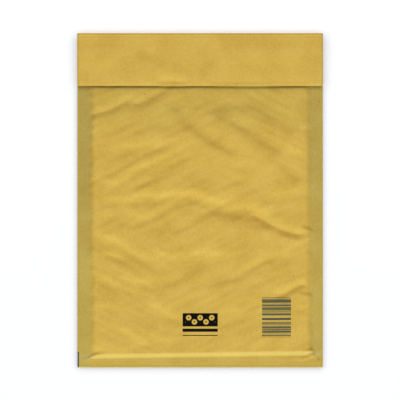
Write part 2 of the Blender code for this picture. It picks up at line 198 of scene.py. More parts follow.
# %% Streaks of the front and the flap
# name: (points in pixels, strength, reach in pixels); below 0 the paper falls towards the flap
STREAKS = {
    "under flap, left hollow": (((126, 110), (142, 108), (156, 102)), -4, 3.6),
    "under flap, middle hollow": (
        ((166, 105), (178, 112), (185, 124), (197, 133.5), (207, 141), (217, 146.5), (227, 152),
         (238, 154.5)), -13, 4.6),
    "beside the middle hollow": (((162, 132), (174, 129), (185, 126)), -4, 3.8),
    "upper left 1": (((104, 137), (116, 130), (130, 126.5)), -5, 3),
    "upper left 2": (((136, 136), (146, 130.5), (158, 126.5), (168, 130)), -6, 3),
    "upper left 3": (((120, 147.5), (130, 146), (141, 143.9), (158, 143.9), (164, 142.5)), 7, 3),
    "upper left 4": (((108, 163.5), (121, 157), (136, 152)), -6, 2.6),
    "upper left 5": (
        ((102, 178.5), (113, 176), (121, 170), (132, 164), (141, 158), (155, 152), (167, 147.5)), -9, 2.8),
    "upper left 6": (
        ((103, 186.5), (118, 180), (128, 173), (137, 168), (150, 162), (160, 158), (175, 153)), 9, 3),
    "upper left 7": (((129, 180), (139.5, 174.6), (151, 169.5)), -6, 2.2),
    "upper left 8": (((130, 185.5), (140, 181.7), (151, 178)), 5, 2),
    "upper left 9": (
        ((132, 191.5), (145, 184.6), (158, 177.4), (169.4, 170.3), (181, 163), (193, 158.5)), -6.5, 2.6),
    "upper left 10": (((102, 169), (112, 165)), -4, 2.4),
    "ridge before the main fold": (
        ((99, 199.5), (115, 199), (127, 198.7), (139.4, 196), (147, 194), (158, 196.5), (171, 194),
         (184, 193.5), (193, 192), (206, 198.5), (219, 201.5), (230, 198.5), (243, 194)), 10, 3.4),
    "under the ridge 1": (((101, 207), (118, 206)), -5, 2.4),
    "under the ridge 2": (((127, 205.5), (143, 205.5), (158, 203), (173, 198.5)), -6, 2.4),
    "under the ridge 3": (((175, 207.5), (190, 203), (201, 204)), -6, 2.4),
    "upper right 1": (
        ((202, 110), (219, 113), (229, 111), (243, 108), (256, 111), (266, 117.5), (276, 124), (288, 131),
         (297, 135)), -9.5, 6.4),
    "upper right 2": (((262, 132), (273, 139.3), (286, 144.5), (299, 152)), 3, 4.0),
    "upper right 3, start": (((228, 123), (241, 131), (254, 139.5), (266, 146)), -5, 5.2),
    "upper right 3": (
        ((224, 121), (238, 128.5), (251, 137), (263, 144.5), (273, 149.5), (284, 154)), -9, 5.8),
    "upper right 4": (((264, 154), (273, 160.5), (283, 168), (291, 178), (303, 182)), -9, 4.0),
    "upper right 5": (((210, 128), (227, 139.5)), 3, 3),
    "upper right 7": (((290, 152), (303, 151.5)), 5, 2),
    "upper right 8": (((223, 174), (233, 167.5), (248, 160)), 5, 2.6),
    "upper right 9": (((221, 192), (234, 184.5), (248, 184.5)), -6, 2.6),
    "upper right 10": (((247, 193.5), (260, 190.5)), -6, 2.4),
    "upper right 11": (((267, 193), (282, 194), (298, 188.5)), 8, 3.6),
    "upper right 12": (((262, 201.5), (281, 204)), -5, 2.4),
    "crest of the ridge": (((179, 195.5), (189, 193.4), (199, 195.6), (208, 198.4), (218, 201.5)), 11, 3),
    "above the main fold": (((223, 210), (234, 208), (246, 205.8), (258, 209), (269, 214)), 13, 3.2),
    "foot of the main fold": (((212, 211), (224, 215.8), (233, 217.5), (246, 218.3), (260, 220)), -10, 5.2),
    "tail of the main fold": (((249, 227.3), (258, 227), (270, 225)), -11, 2.8),
    "lower bank of the main fold": (((262, 227.5), (274, 232), (287, 236.5), (299, 238)), -4, 2.8),
    "over the main fold": (((272, 216.5), (292, 211)), -5, 2.4),
    "notch at the main fold": (((301, 226.8), (308, 228.2), (315, 230.4)), -24, 1.5),
    "valley left of the main fold": (
        ((170, 235), (178, 231.5), (187, 228.5), (199, 221.5), (207, 217.5), (218, 210.5)), -11, 3),
    "bank of that valley": (((166, 228), (178, 223), (190, 216.5), (201, 211)), -5, 3),
    "middle left 1": (
        ((131, 232.5), (139.5, 227.5), (149.5, 223.5), (158, 218.6), (166.6, 212.9), (175, 208),
         (185, 205.5)), -9, 2.6),
    "middle left 2": (((155, 233.5), (165, 228.6), (171, 221.5), (181, 215.7), (194, 210)), -5, 2.4),
    "middle left 3": (((118, 226), (131, 224.5)), -5, 2.2),
    "middle left 4": (((101, 213), (114, 212.5)), 5, 2.4),
    "middle left 5": (((128, 210.5), (139.5, 215.5), (147, 218.3), (156.5, 213), (168, 207.5)), 6, 2.4),
    "slanting streak": (
        ((98, 232.5), (107, 238.3), (115, 239.5), (124, 245), (132.5, 250.5), (141, 255), (160, 264)), 11, 3),
    "lower ridge": (
        ((151, 249), (161, 253), (169.5, 257), (181, 255.7), (190, 253.6), (200, 252.3), (214, 253),
         (234, 252.5)), 8, 3.6),
    "lower left 1": (((162, 247), (172.5, 243), (183, 237.5)), 5, 2.2),
    "lower left 2": (((157, 247.5), (168, 250.5), (183, 246.5)), -4, 2.4),
    "lower left 3": (((99, 258.7), (112, 260), (122, 263.5), (132, 259)), -4, 2.4),
    "lower left 5": (((101, 252.8), (114, 254.3), (123, 257.2)), 6, 2),
    "lower left 6": (((102, 265.8), (117, 269.3)), 4, 2.4),
    "lower left 7": (((100, 276), (111, 281.5), (122, 287)), 9, 3),
    "lower left 8": (((103, 286), (119, 291.3)), -5, 2.4),
    "lower left 9": (((119, 275), (131, 280), (139.5, 281.5), (154, 280)), 8, 3.4),
    "lower middle 1": (((161, 288), (171, 285.8), (181, 282), (190, 274.5), (199, 270), (214, 262)), -9, 2.8),
    "lower middle 2": (((169, 278), (181, 274), (191, 268)), 4, 2.4),
    "lower right 1": (
        ((203, 290.5), (216, 285), (228, 281.5), (239.5, 279.5), (246, 275.5), (256, 268.5), (268, 263),
         (278, 260.5)), -10.5, 2.6),
    "lower right 2": (
        ((239, 268), (254.5, 262), (266, 255.5), (279.5, 251), (289.5, 245), (301, 240.5)), 7, 3),
    "lower right 3": (((274, 272.5), (286, 265.5), (298, 261)), -4, 2.4),
    "lower right 4": (((259, 277.6), (271, 275.8)), -5, 2),
    "lower right 5": (((230, 291.8), (248, 287.8)), -4, 2.4),
    "lower right notch": (((299, 292.3), (306, 293.6), (314, 295.5)), -20, 1.4),
    "bottom 1": (((97, 305.4), (107, 305.5), (118, 307.8)), 6, 2.6),
    "bottom 2": (((124, 305.4), (137, 300.6)), -5, 2.2),
    "bottom 3": (((133, 311.3), (143, 308.2)), -5, 2.2),
    "bottom 4": (((152, 302.5), (161, 308.6), (169.5, 313.6), (181, 320)), 10, 3),
    "bottom 5": (((158, 316), (169.5, 320.7), (182, 325.3)), -6, 2.4),
    "bottom 6": (((119, 327.8), (129.5, 334.5), (137, 340), (148, 345.5)), 10, 3),
    "bottom 7": (((122, 344.2), (132, 342.3)), -5, 2.4),
    "bottom 8": (((137, 347.5), (151, 347.5)), -6, 2),
    "bottom 9": (((103, 331), (112, 341.5)), -6, 2.4),
    "bottom 10": (((147, 332), (158, 337), (167, 340.3), (176, 338.8)), 8, 3),
    "bottom 11": (((217, 312), (233, 310.5), (246, 308), (259, 299)), 7, 3.4),
    "bottom 12": (((248, 310.4), (261, 304.6)), -8, 2),
    "bottom 13": (((223, 331.5), (236, 323.5), (247, 321)), -5, 2.4),
    "bottom 14": (((293, 305.8), (305, 308.2)), 5, 2),
    "bottom 15": (((294, 311.5), (305, 311.5)), -4, 2),
    "hair crease": (((283, 347), (290, 337.5)), 6, 1.4),
    "left mitre": (((86, 357.6), (93, 355), (101, 352.4)), -30, 1.2),
    "left mitre, tail": (((80, 356.6), (86, 356.9), (91, 356)), -10, 1.1),
    "right mitre": (((301, 359), (306, 356.8), (310, 354.6), (315, 352.8)), -30, 1.1),
    "right nick": (((307.5, 349), (311.5, 350.4), (316, 352.4)), -24, 1.2),
    "corner wedge": (((288, 361.8), (300, 360.6), (308, 358.6), (314, 357), (319, 358.6)), 15, 2.6),
    "corner crease, upper": (((312.5, 354), (316.5, 356.2), (321, 358.8)), -24, 1.0),
    "corner crease, lower": (((308, 366), (312.5, 362.6), (316, 360.4), (320, 359)), -26, 1.1),
    "long crease in the bottom seal": (((278, 362), (295, 361.6), (310, 360.4)), 5, 1.4),
    "flap 1": (((159, 80.6), (170, 78), (185, 79.8)), 16, 2.4),
    "flap 2": (((182, 75.6), (200, 74.5), (215, 75)), -5, 2.4),
    "flap 3": (((132, 51.5), (148, 60), (164, 68.5)), -5, 5),
    "flap 4": (((145, 50), (161, 49)), 3, 3),
    "flap 5": (((203, 74), (210, 64), (217, 55), (225, 46)), -7, 5),
    "flap 6": (((217, 72), (223, 62), (229, 53), (235, 45)), -4, 4),
    "flap 7": (((158, 40.3), (178, 38), (192, 40)), -4, 3),
    "flap 8": (((93, 66.5), (117, 61.5)), 3, 4),
}
print(len(FOLDS), "folds and", len(STREAKS), "streaks")

# %% A smooth curve through a few points
CURVE_STEPS = 6


def smooth_curve(pixels):
    """A Catmull-Rom curve through points given in pixels, as an array of places in metres."""
    places = np.array([(across(column), up(row)) for column, row in pixels])
    padded = np.vstack((2 * places[0] - places[1], places, 2 * places[-1] - places[-2]))
    curve = [places[0]]
    for before, start, end, after in zip(padded, padded[1:], padded[2:], padded[3:]):
        for step in range(1, CURVE_STEPS + 1):
            t = step / CURVE_STEPS
            curve.append(0.5 * (2 * start + (end - before) * t
                                + (2 * before - 5 * start + 4 * end - after) * t ** 2
                                + (3 * start - before - 3 * end + after) * t ** 3))
    return np.array(curve)


def along_curve(x, y, curve, reach):
    """For the places near a curve: which they are, how far above it they lie, and how far along."""
    low, high = curve.min(axis=0) - reach, curve.max(axis=0) + reach
    near = np.flatnonzero((x > low[0]) & (x < high[0]) & (y > low[1]) & (y < high[1]))
    place = np.stack((x[near], y[near]), axis=1)
    nearest = np.full(len(near), np.inf)
    signed = np.zeros(len(near))
    share = np.zeros(len(near))
    for index, (start, end) in enumerate(zip(curve, curve[1:])):
        run = end - start
        t = np.clip((place - start) @ run / (run @ run), 0, 1)
        off = place - start - t[:, None] * run
        gap = np.hypot(off[:, 0], off[:, 1])
        closer = gap < nearest
        side = np.sign(run[0] * off[:, 1] - run[1] * off[:, 0])
        nearest[closer] = gap[closer]
        signed[closer] = (gap * side)[closer]
        share[closer] = (index + t[closer]) / (len(curve) - 1)
    return near, signed, share


# %% [markdown]
# The bank of a sharp fold is nearly straight, with a true edge at its line. A streak is a soft step that
# levels out again far from its line, so that it changes the tone at its line and hardly anywhere else.
# All of them fade out towards their ends.

# %% How deep the marks are at a place
END_FADE = 0.15
END_REST = 0.20
BANK_CURVE = 1.35
STREAK_SLOPE = 0.0280
STREAK_WIDTH = 1.45
FOLD_STRENGTH = 1.8
STEP_SHARPNESS = 1.6
LEVELLING = 3.2
STREAK_CUTOFF = 2.5


def fade(share):
    """1 in the middle of a mark, and little at its ends."""
    return soft(np.minimum(share, 1 - share) / END_FADE + END_REST)


def fold_profile(signed, above, below):
    """A valley with its edge at 0, where it is -1, that ends a given way above and below it."""
    left = 1 - np.where(signed > 0, signed / above, -signed / below)
    return -np.clip(left, 0, 1) ** BANK_CURVE


def step_profile(t):
    """A soft step up at 0 that levels out on both sides, with a slope of 1 at 0."""
    return np.tanh(STEP_SHARPNESS * t) * np.exp(-(t / LEVELLING) ** 2) / STEP_SHARPNESS


def mark_height(x, y):
    """What all the folds and streaks add to the height of the paper, in metres."""
    height = np.zeros(len(x))
    for pixels, depth, above, below in FOLDS.values():
        near, signed, share = along_curve(x, y, smooth_curve(pixels), max(above, below) * MM)
        valley = fold_profile(signed, above * MM, below * MM)
        height[near] += FOLD_STRENGTH * depth * MM * valley * fade(share)
    for pixels, strength, reach in STREAKS.values():
        width = STREAK_WIDTH * reach * PIXEL
        near, signed, share = along_curve(x, y, smooth_curve(pixels), STREAK_CUTOFF * LEVELLING * width)
        height[near] += strength * STREAK_SLOPE * width * step_profile(signed / width) * fade(share)
    return height


# %% [markdown]
# Under the paper lies the bubble film, and its rows of bubbles press through as a faint quilt. The
# quilt is the sum of three waves that cross at 60 degrees. Slow noise lets it come and go, a second
# noise adds the small unevenness that all paper has, and a third, stretched one adds long fine
# crinkles that run slantwise over the panel.

# %% Quilt and unevenness
BUBBLE_PITCH = 0.0120
QUILT = 0.00005
PATCH_SIZE = 0.03
UNEVEN = 0.00012
UNEVEN_SIZE = 0.011
FINER = 2.3
BILLOW = 0.00030
BILLOW_SIZE = 0.045
CRINKLE = 0.00035
CRINKLE_ACROSS = 0.0042
CRINKLE_ALONG = 0.026
RISING = 26
FALLING = -28
# Where the crinkles fall to the right: (x and y at which each corner starts, how softly it starts)
UPPER_RIGHT = (0.005, -0.01, 0.05)
LOWER_LEFT = (-0.02, -0.02, 0.03)


def noise_at(x, y, size, seed):
    """Smooth noise between about -1 and 1 with features of the given size."""
    return np.array([noise.noise(Vector((px / size, py / size, seed))) for px, py in zip(x, y)])


def quilt(x, y):
    """1 over the middle of a bubble, about -0.5 between bubbles."""
    turn = 4 * math.pi / (math.sqrt(3) * BUBBLE_PITCH)
    waves = sum(np.cos(turn * (x * math.cos(angle) + y * math.sin(angle)))
                for angle in (math.radians(90), math.radians(210), math.radians(330)))
    return waves / 3


def crinkle(x, y, degrees, seed):
    """Fine waves that run along one direction."""
    turn = math.radians(degrees)
    along = (x * math.cos(turn) + y * math.sin(turn)) / CRINKLE_ALONG
    over = (y * math.cos(turn) - x * math.sin(turn)) / CRINKLE_ACROSS
    return noise_at(along, over, 1.0, seed)


def crinkles(x, y, seed):
    """Waves that rise to the right, but fall to the right in two opposite corners."""
    start_x, start_y, softness = UPPER_RIGHT
    upper_right = soft((x - start_x) / softness) * soft((y - start_y) / softness)
    start_x, start_y, softness = LOWER_LEFT
    lower_left = soft((start_x - x) / softness) * soft((start_y - y) / softness)
    falling = np.maximum(upper_right, lower_left)
    return falling * crinkle(x, y, FALLING, seed) + (1 - falling) * crinkle(x, y, RISING, seed + 1)


def unevenness(x, y, seed):
    """Quilt, small unevenness and slow billows of a padded panel."""
    patchy = soft(0.5 + noise_at(x, y, PATCH_SIZE, seed + 1))
    small = noise_at(x, y, UNEVEN_SIZE, seed) + 0.5 * noise_at(x, y, UNEVEN_SIZE / FINER, seed + 2)
    slow = noise_at(x, y, BILLOW_SIZE, seed + 3)
    return (QUILT * quilt(x, y) * patchy + UNEVEN * small + BILLOW * slow
            + CRINKLE * crinkles(x, y, seed + 4))


# %% [markdown]
# Now the height of each layer can be written down. The front paper rides on the pouch, plus a little
# slack, minus the marks. The flap has been pressed shut: at its free edge the panel dips and is ironed
# smooth, the flat borders bend down, and the flap itself sags a little towards that edge. In front of
# it the panel swells out again. The back panel lies flat on the table.

# %% Heights of the layers
SLACK = 0.00075
LEAST_RISE = 0.0002
FLAP_DIP = 0.0022
FLAP_DIP_LENGTH = 0.0022
HOLLOW = 0.0007
HOLLOW_LENGTH = 0.0280
HOLLOW_HALF_WIDTH = 0.095
HOLLOW_SIDE = 0.03
IRONING = 0.95
IRONED_LENGTH = 0.0030
UNDER_FLAP_MARKS = 0.45
SEAL_WAVE = 0.00012
SEAL_WAVE_SIZE = 0.014
BORDER_BEND = 0.0011
BORDER_BEND_LENGTH = 0.0014
BACK_DIMPLE = 0.00012
BACK_DIMPLE_SIZE = 0.02
STRIP_STACK = GAP + COVER + GAP + GLUE + GAP
FLAP_Z = MIDDLE_Z + SEAL_HALF + POUCH_RISE + SLACK + STRIP_STACK + PAPER
FOLD_TOP_DROP = 0.0007
FOLD_TOP_Z = FLAP_Z - FOLD_TOP_DROP
FLAP_SAG = 0.0009
FLAP_EDGE_BAND = 0.0022
FLAP_EDGE_DROP = 0.00016
FLAP_DROOP = 0.0006
FLAP_DROOP_START = 0.080
FLAP_DROOP_WIDTH = 0.020
FLAP_UNEVENNESS = 0.3
FRONT_SEED = 1.0
FLAP_SEED = 5.0
SEAL_SEED = 21.0
BACK_SEED = 31.0


def near_flap_edge(y, length):
    """1 at the flap's free edge, and less and less away from it."""
    return np.exp(-np.abs(FLAP_EDGE_Y - y) / length)


def border_bend(x, y):
    """How far all layers of the flat borders are bent down in front of the flap's edge."""
    return BORDER_BEND * (1 - padding_share(x, y)) * near_flap_edge(y, BORDER_BEND_LENGTH)


def swell_and_lip(x, y):
    """The share of the full swelling at a place, and how far the open lip lifts each wall there."""
    padding = padding_share(x, y)
    return padding * mouth_share(y), padding * (1 - mouth_share(y)) * LIP_RISE


def front_z(x, y):
    """The outer face of the front panel."""
    swell, lip = swell_and_lip(x, y)
    ironed = 1 - IRONING * near_flap_edge(y, IRONED_LENGTH)
    marks = mark_height(x, y) * (0.8 + 0.2 * swell)
    marks = marks + unevenness(x, y, FRONT_SEED) * (0.2 + 0.8 * swell) * ironed
    dip = FLAP_DIP * near_flap_edge(y, FLAP_DIP_LENGTH)
    middle = soft((x + HOLLOW_HALF_WIDTH) / HOLLOW_SIDE) * soft((HOLLOW_HALF_WIDTH - x) / HOLLOW_SIDE)
    dip = dip + HOLLOW * middle * soft(1 - (FLAP_EDGE_Y - y) / HOLLOW_LENGTH)
    under_flap = np.where(y > FLAP_EDGE_Y, UNDER_FLAP_MARKS, 1.0)
    seal = SEAL_WAVE * noise_at(x, y, SEAL_WAVE_SIZE, SEAL_SEED) * (1 - swell)
    rise = swell * (POUCH_RISE + SLACK) + marks * under_flap - dip * swell
    rise = np.maximum(rise, LEAST_RISE * swell) + np.abs(seal)
    return MIDDLE_Z + SEAL_HALF + lip + rise - border_bend(x, y)


def back_z(x, y):
    """The outer face of the back panel, which lies on the table."""
    swell, lip = swell_and_lip(x, y)
    rest = MIDDLE_Z - SEAL_HALF - lip - swell * POUCH_RISE
    dimple = BACK_DIMPLE * (1 - quilt(x, y)) * swell
    dimple = dimple + BACK_DIMPLE * np.abs(noise_at(x, y, BACK_DIMPLE_SIZE, BACK_SEED)) * swell
    return rest + dimple - border_bend(x, y)


def flap_z(x, y):
    """The outer face of the flap."""
    rise = FOLD_TOP_Z + (FLAP_Z - FOLD_TOP_Z) * mouth_share(y)
    edge = FLAP_EDGE_DROP * (1 - soft((y - FLAP_EDGE_Y) / FLAP_EDGE_BAND))
    edge = edge + FLAP_SAG * (1 - soft((y - FLAP_EDGE_Y) / (TOP_FOLD_Y - FLAP_EDGE_Y)))
    droop = FLAP_DROOP * soft((np.abs(x) - FLAP_DROOP_START) / FLAP_DROOP_WIDTH)
    free_edge = soft((y - FLAP_EDGE_Y) / IRONED_LENGTH)
    wave = (FLAP_UNEVENNESS * unevenness(x, y, FLAP_SEED) + mark_height(x, y)) * free_edge
    return rise - edge - droop + wave * mouth_share(y)


# %% [markdown]
# The bag is made as it is in the factory: from a flat blank. A plain grid stands for the sheet, and one
# rule folds it: down the front, round the bottom fold, up the back, round the top fold and down again
# as the flap. The flat place of each point is kept as a UV map in metres, so that print and grain
# follow the sheet round its folds.

# %% Fold a flat blank
class Blank:
    """A flat sheet with its lip at 0, its two folds, and its free end."""

    def __init__(self, lip_y, bottom_y, bottom_radius):
        """Works out the lengths along the sheet at which its folds begin and end."""
        self.lip_y = lip_y
        self.bottom_y = bottom_y
        self.radius = bottom_radius
        self.front = lip_y - bottom_y
        self.bottom_fold = self.front + math.pi * bottom_radius
        self.back = self.bottom_fold + TOP_FOLD_Y - bottom_y
        self.top_fold = self.back + math.pi * TOP_FOLD_DEPTH
        self.end = self.top_fold + TOP_FOLD_Y - FLAP_EDGE_Y


kraft_blank = Blank(LIP_Y, -HALF_LENGTH + SEAL_HALF, SEAL_HALF)
print("flat blank of the kraft sheet in mm:", round(kraft_blank.end / MM, 1))


def fold_kraft(x, v):
    """Where points of the flat kraft blank lie once the bag is folded."""
    blank = kraft_blank
    y = np.zeros(len(x))
    z = np.zeros(len(x))
    part = v <= blank.front
    y[part] = blank.lip_y - v[part]
    z[part] = front_z(x[part], y[part])
    part = (v > blank.front) & (v <= blank.bottom_fold)
    turn = (v[part] - blank.front) / blank.radius
    y[part] = blank.bottom_y - blank.radius * np.sin(turn)
    z[part] = MIDDLE_Z + blank.radius * np.cos(turn)
    part = (v > blank.bottom_fold) & (v <= blank.back)
    y[part] = blank.bottom_y + v[part] - blank.bottom_fold
    z[part] = back_z(x[part], y[part])
    part = (v > blank.back) & (v <= blank.top_fold)
    turn = (v[part] - blank.back) / TOP_FOLD_DEPTH
    crest = np.full(part.sum(), TOP_FOLD_Y)
    low, high = back_z(x[part], crest), flap_z(x[part], crest)
    y[part] = TOP_FOLD_Y + TOP_FOLD_DEPTH * np.sin(turn)
    z[part] = (low + high) / 2 - (high - low) / 2 * np.cos(turn)
    part = v > blank.top_fold
    y[part] = TOP_FOLD_Y - (v[part] - blank.top_fold)
    z[part] = flap_z(x[part], y[part])
    return np.stack((x, y, z), axis=1)


# %% A grid with lines where they are needed
def stations(start, end, size):
    """Places from start to end about a size apart, both ends included."""
    return np.linspace(start, end, max(1, round(abs(end - start) / size)) + 1)


def joined(*runs):
    """Runs of stations one after another, each shared end kept once."""
    line = list(runs[0])
    for run in runs[1:]:
        line += list(run[1:])
    return np.array(line)


def station_grid(columns, rows):
    """A bmesh grid whose lines lie at the given places."""
    bm = bmesh.new()
    bmesh.ops.create_grid(bm, x_segments=len(columns) - 1, y_segments=len(rows) - 1, size=1.0)
    for vert in bm.verts:
        column = round((vert.co.x + 1) / 2 * (len(columns) - 1))
        row = round((vert.co.y + 1) / 2 * (len(rows) - 1))
        vert.co = (columns[column], rows[row], 0.0)
    return bm


def linked_piece(mesh, name):
    """A new object of a mesh, linked to the scene."""
    piece = bpy.data.objects.new(name, mesh)
    bpy.context.scene.collection.objects.link(piece)
    return piece


def mesh_from(bm, name):
    """Writes a bmesh into a new mesh object that is linked to the scene."""
    mesh = bpy.data.meshes.new(name)
    bm.to_mesh(mesh)
    bm.free()
    return linked_piece(mesh, name)


def places(piece):
    """The vertices of a piece as an array."""
    flat = np.empty(3 * len(piece.data.vertices))
    piece.data.vertices.foreach_get("co", flat)
    return flat.reshape(-1, 3).astype(float)


def move_to(piece, new_places):
    """Moves the vertices of a piece to new places and shades it smooth."""
    piece.data.vertices.foreach_set("co", np.ascontiguousarray(new_places, np.float32).ravel())
    piece.data.update()
    piece.data.shade_smooth()


def keep_flat_places(piece, name):
    """Keeps the place of each corner on the flat sheet as a UV map in metres."""
    flat = places(piece)[:, :2]
    corner_verts = np.empty(len(piece.data.loops), dtype=np.int32)
    piece.data.loops.foreach_get("vertex_index", corner_verts)
    layer = piece.data.uv_layers.new(name=name)
    layer.data.foreach_set("uv", np.ascontiguousarray(flat[corner_verts], np.float32).ravel())


def add_thickness(piece, thickness, inner_material=0):
    """Gives an open sheet its thickness, inwards from the face that it was drawn on."""
    sheet = piece.modifiers.new("Thickness", "SOLIDIFY")
    sheet.thickness = thickness
    sheet.offset = -1.0
    sheet.use_even_offset = True
    sheet.use_rim = True
    sheet.material_offset = inner_material
    sheet.material_offset_rim = inner_material


# %% [markdown]
# The grid is fine where the eye will look, on the front and at its corners, and coarse on the back.
# Most creases run across the bag, so the rows lie closer than the columns. With its thickness the
# sheet stays below 200,000 triangles.

# %% The kraft sheet
FRONT_CELL_X = 0.0020
FRONT_CELL_Y = 0.0010
EDGE_CELL = 0.0007
FOLD_CELLS = 10
HIDDEN_CELL = 0.0030
DIP_CELL = 0.0006
DIP_ABOVE = 0.001
DIP_BELOW = 0.005
FRONT_CORNER = 0.018
BACK_CORNER = 0.014
BACK_CORNER_CELL = 0.0014
BACK_CELL = 0.0060
FLAP_CELL = 0.0024
FREE_EDGE = 0.004
FREE_EDGE_CELL = 0.0008


def sheet_columns(inset, edge_cell, padding_cell):
    """Lines along a sheet: fine on the borders and slopes, coarser on the padding."""
    return joined(stations(-HALF_WIDTH + inset, PAD_LEFT, edge_cell),
                  stations(PAD_LEFT, PAD_RIGHT, padding_cell),
                  stations(PAD_RIGHT, HALF_WIDTH - inset, edge_cell))


def kraft_rows():
    """Lines across the kraft sheet, from its lip to the free edge of the flap."""
    blank = kraft_blank
    dip = LIP_Y - FLAP_EDGE_Y
    front_corner = blank.front - FRONT_CORNER
    back_corner = blank.bottom_fold + BACK_CORNER
    free_edge = blank.end - FREE_EDGE
    return joined(
        stations(0.0, dip - DIP_ABOVE, HIDDEN_CELL),
        stations(dip - DIP_ABOVE, dip + DIP_BELOW, DIP_CELL),
        stations(dip + DIP_BELOW, front_corner, FRONT_CELL_Y),
        stations(front_corner, blank.front, EDGE_CELL),
        np.linspace(blank.front, blank.bottom_fold, FOLD_CELLS + 1),
        stations(blank.bottom_fold, back_corner, BACK_CORNER_CELL),
        stations(back_corner, blank.back, BACK_CELL),
        np.linspace(blank.back, blank.top_fold, FOLD_CELLS + 1),
        stations(blank.top_fold, free_edge, FLAP_CELL),
        stations(free_edge, blank.end, FREE_EDGE_CELL))


kraft_columns = sheet_columns(0.0, EDGE_CELL, FRONT_CELL_X)
kraft = mesh_from(station_grid(kraft_columns, kraft_rows()), "kraft_sheet")
keep_flat_places(kraft, "flat_sheet")
flat_places = places(kraft)
move_to(kraft, fold_kraft(flat_places[:, 0], flat_places[:, 1]))
kraft.data.flip_normals()
add_thickness(kraft, PAPER, inner_material=1)
print("kraft sheet:", len(kraft.data.polygons), "faces before its thickness")

# %% [markdown]
# The film pouch is folded the same way from its own, shorter blank, just inside the paper. Its bubbles
# are blown into both inner walls in staggered rows. One bubble is half a sphere, built from rings of
# corners. Its height is measured in shares, from 0 at the film to 1 at the middle of the bag. After it
# has been copied to every place, one rule turns the shares into heights, so that the bubbles are lower
# where the bag is.

# %% The film pouch
FILM_SETBACK = 0.0020
FILM_LIP_Y = LIP_Y - FILM_SETBACK
FILM_BOTTOM_Y = kraft_blank.bottom_y
FILM_INSET = 0.0003
FILM_CELL = 0.0032
FILM_EDGE_CELL = 0.0014
FILM_CORNER = 0.013
FILM_CORNER_CELL = 0.0013
FILM_BEND_CELLS = 6
SEAL_TOUCH = 0.00003
POCKET_HALF = 0.0002


def film_front_z(x, y):
    """The outer face of the front wall of the pouch, below the lowest paper close by."""
    reach = FILM_CELL
    around = ((0, 0), (reach, 0), (-reach, 0), (0, reach), (0, -reach), (0, reach / 2), (0, -reach / 2))
    lowest = np.min([front_z(x + dx, y + dy) for dx, dy in around], axis=0)
    return lowest - PAPER - GAP


def film_back_z(x, y):
    """The outer face of the back wall of the pouch."""
    return back_z(x, y) + PAPER + GAP


film_front_length = FILM_LIP_Y - FILM_BOTTOM_Y
FILM_RADIUS = FILM + SEAL_TOUCH
film_bend = film_front_length + math.pi * FILM_RADIUS
film_end = film_bend + film_front_length


def fold_film(x, v):
    """Where points of the flat film lie: front wall, bottom bend, back wall."""
    y = np.where(v <= film_front_length, FILM_LIP_Y - v, FILM_BOTTOM_Y + v - film_bend)
    z = np.zeros(len(x))
    part = v <= film_front_length
    z[part] = film_front_z(x[part], y[part])
    part = v > film_bend
    z[part] = film_back_z(x[part], y[part])
    part = (v > film_front_length) & (v <= film_bend)
    turn = (v[part] - film_front_length) / FILM_RADIUS
    y[part] = FILM_BOTTOM_Y - FILM_RADIUS * np.sin(turn)
    z[part] = MIDDLE_Z + FILM_RADIUS * np.cos(turn)
    return np.stack((x, y, z), axis=1)


def film_rows():
    """Lines across the film, from the lip of its front wall to the lip of its back wall."""
    front_corner = film_front_length - FILM_CORNER
    back_corner = film_bend + FILM_CORNER
    return joined(
        stations(0.0, front_corner, FILM_CELL),
        stations(front_corner, film_front_length, FILM_CORNER_CELL),
        np.linspace(film_front_length, film_bend, FILM_BEND_CELLS + 1),
        stations(film_bend, back_corner, FILM_CORNER_CELL),
        stations(back_corner, film_end, FILM_CELL))


film_columns = sheet_columns(FILM_INSET, FILM_EDGE_CELL, FILM_CELL)
film = mesh_from(station_grid(film_columns, film_rows()), "film_walls")
keep_flat_places(film, "flat_sheet")
flat_places = places(film)
move_to(film, fold_film(flat_places[:, 0], flat_places[:, 1]))
film.data.flip_normals()
add_thickness(film, FILM)
print("film walls:", len(film.data.polygons), "faces")

# %% One bubble, copied to every place on both walls
BUBBLE_RADIUS = 0.0050
BUBBLE_ROUND = 12
BUBBLE_RINGS = 4
BUBBLE_SINK = 0.02
SIDE_MARGIN = 0.0056
BOTTOM_MARGIN = 0.007
TOP_MARGIN = 0.006


def bubble_centres():
    """Staggered rows of places over the padding."""
    step = BUBBLE_PITCH * math.sqrt(3) / 2
    low_y = BOTTOM_SEAL_Y + BOTTOM_SLOPE + BOTTOM_MARGIN
    high_y = LIP_Y - MOUTH_SLOPE - TOP_MARGIN
    left, right = PAD_LEFT + SIDE_MARGIN, PAD_RIGHT - SIDE_MARGIN
    rows = int((high_y - low_y) / step) + 1
    count = int((right - left) / BUBBLE_PITCH) + 1
    for row in range(rows):
        number = count - row % 2
        for column in range(number):
            x = (left + right) / 2 + (column - (number - 1) / 2) * BUBBLE_PITCH
            yield x, (low_y + high_y) / 2 + (row - (rows - 1) / 2) * step


def one_bubble():
    """A closed dome of height 1, standing a little below 0: its corners, and the corners of each face."""
    corners = []
    faces = [tuple(range(BUBBLE_ROUND))]
    for ring in range(BUBBLE_RINGS):
        rise = math.pi / 2 * ring / BUBBLE_RINGS
        reach, height = BUBBLE_RADIUS * math.cos(rise), math.sin(rise) - BUBBLE_SINK
        for step in range(BUBBLE_ROUND):
            turn = 2 * math.pi * step / BUBBLE_ROUND
            corners.append((reach * math.sin(turn), reach * math.cos(turn), height))
    tip = len(corners)
    corners.append((0.0, 0.0, 1 - BUBBLE_SINK))
    for low in range(0, tip, BUBBLE_ROUND):
        high = low + BUBBLE_ROUND
        for step in range(BUBBLE_ROUND):
            after = (step + 1) % BUBBLE_ROUND
            upper = (tip,) if high == tip else (high + step, high + after)
            faces.append((low + after, low + step) + upper)
    return corners, faces


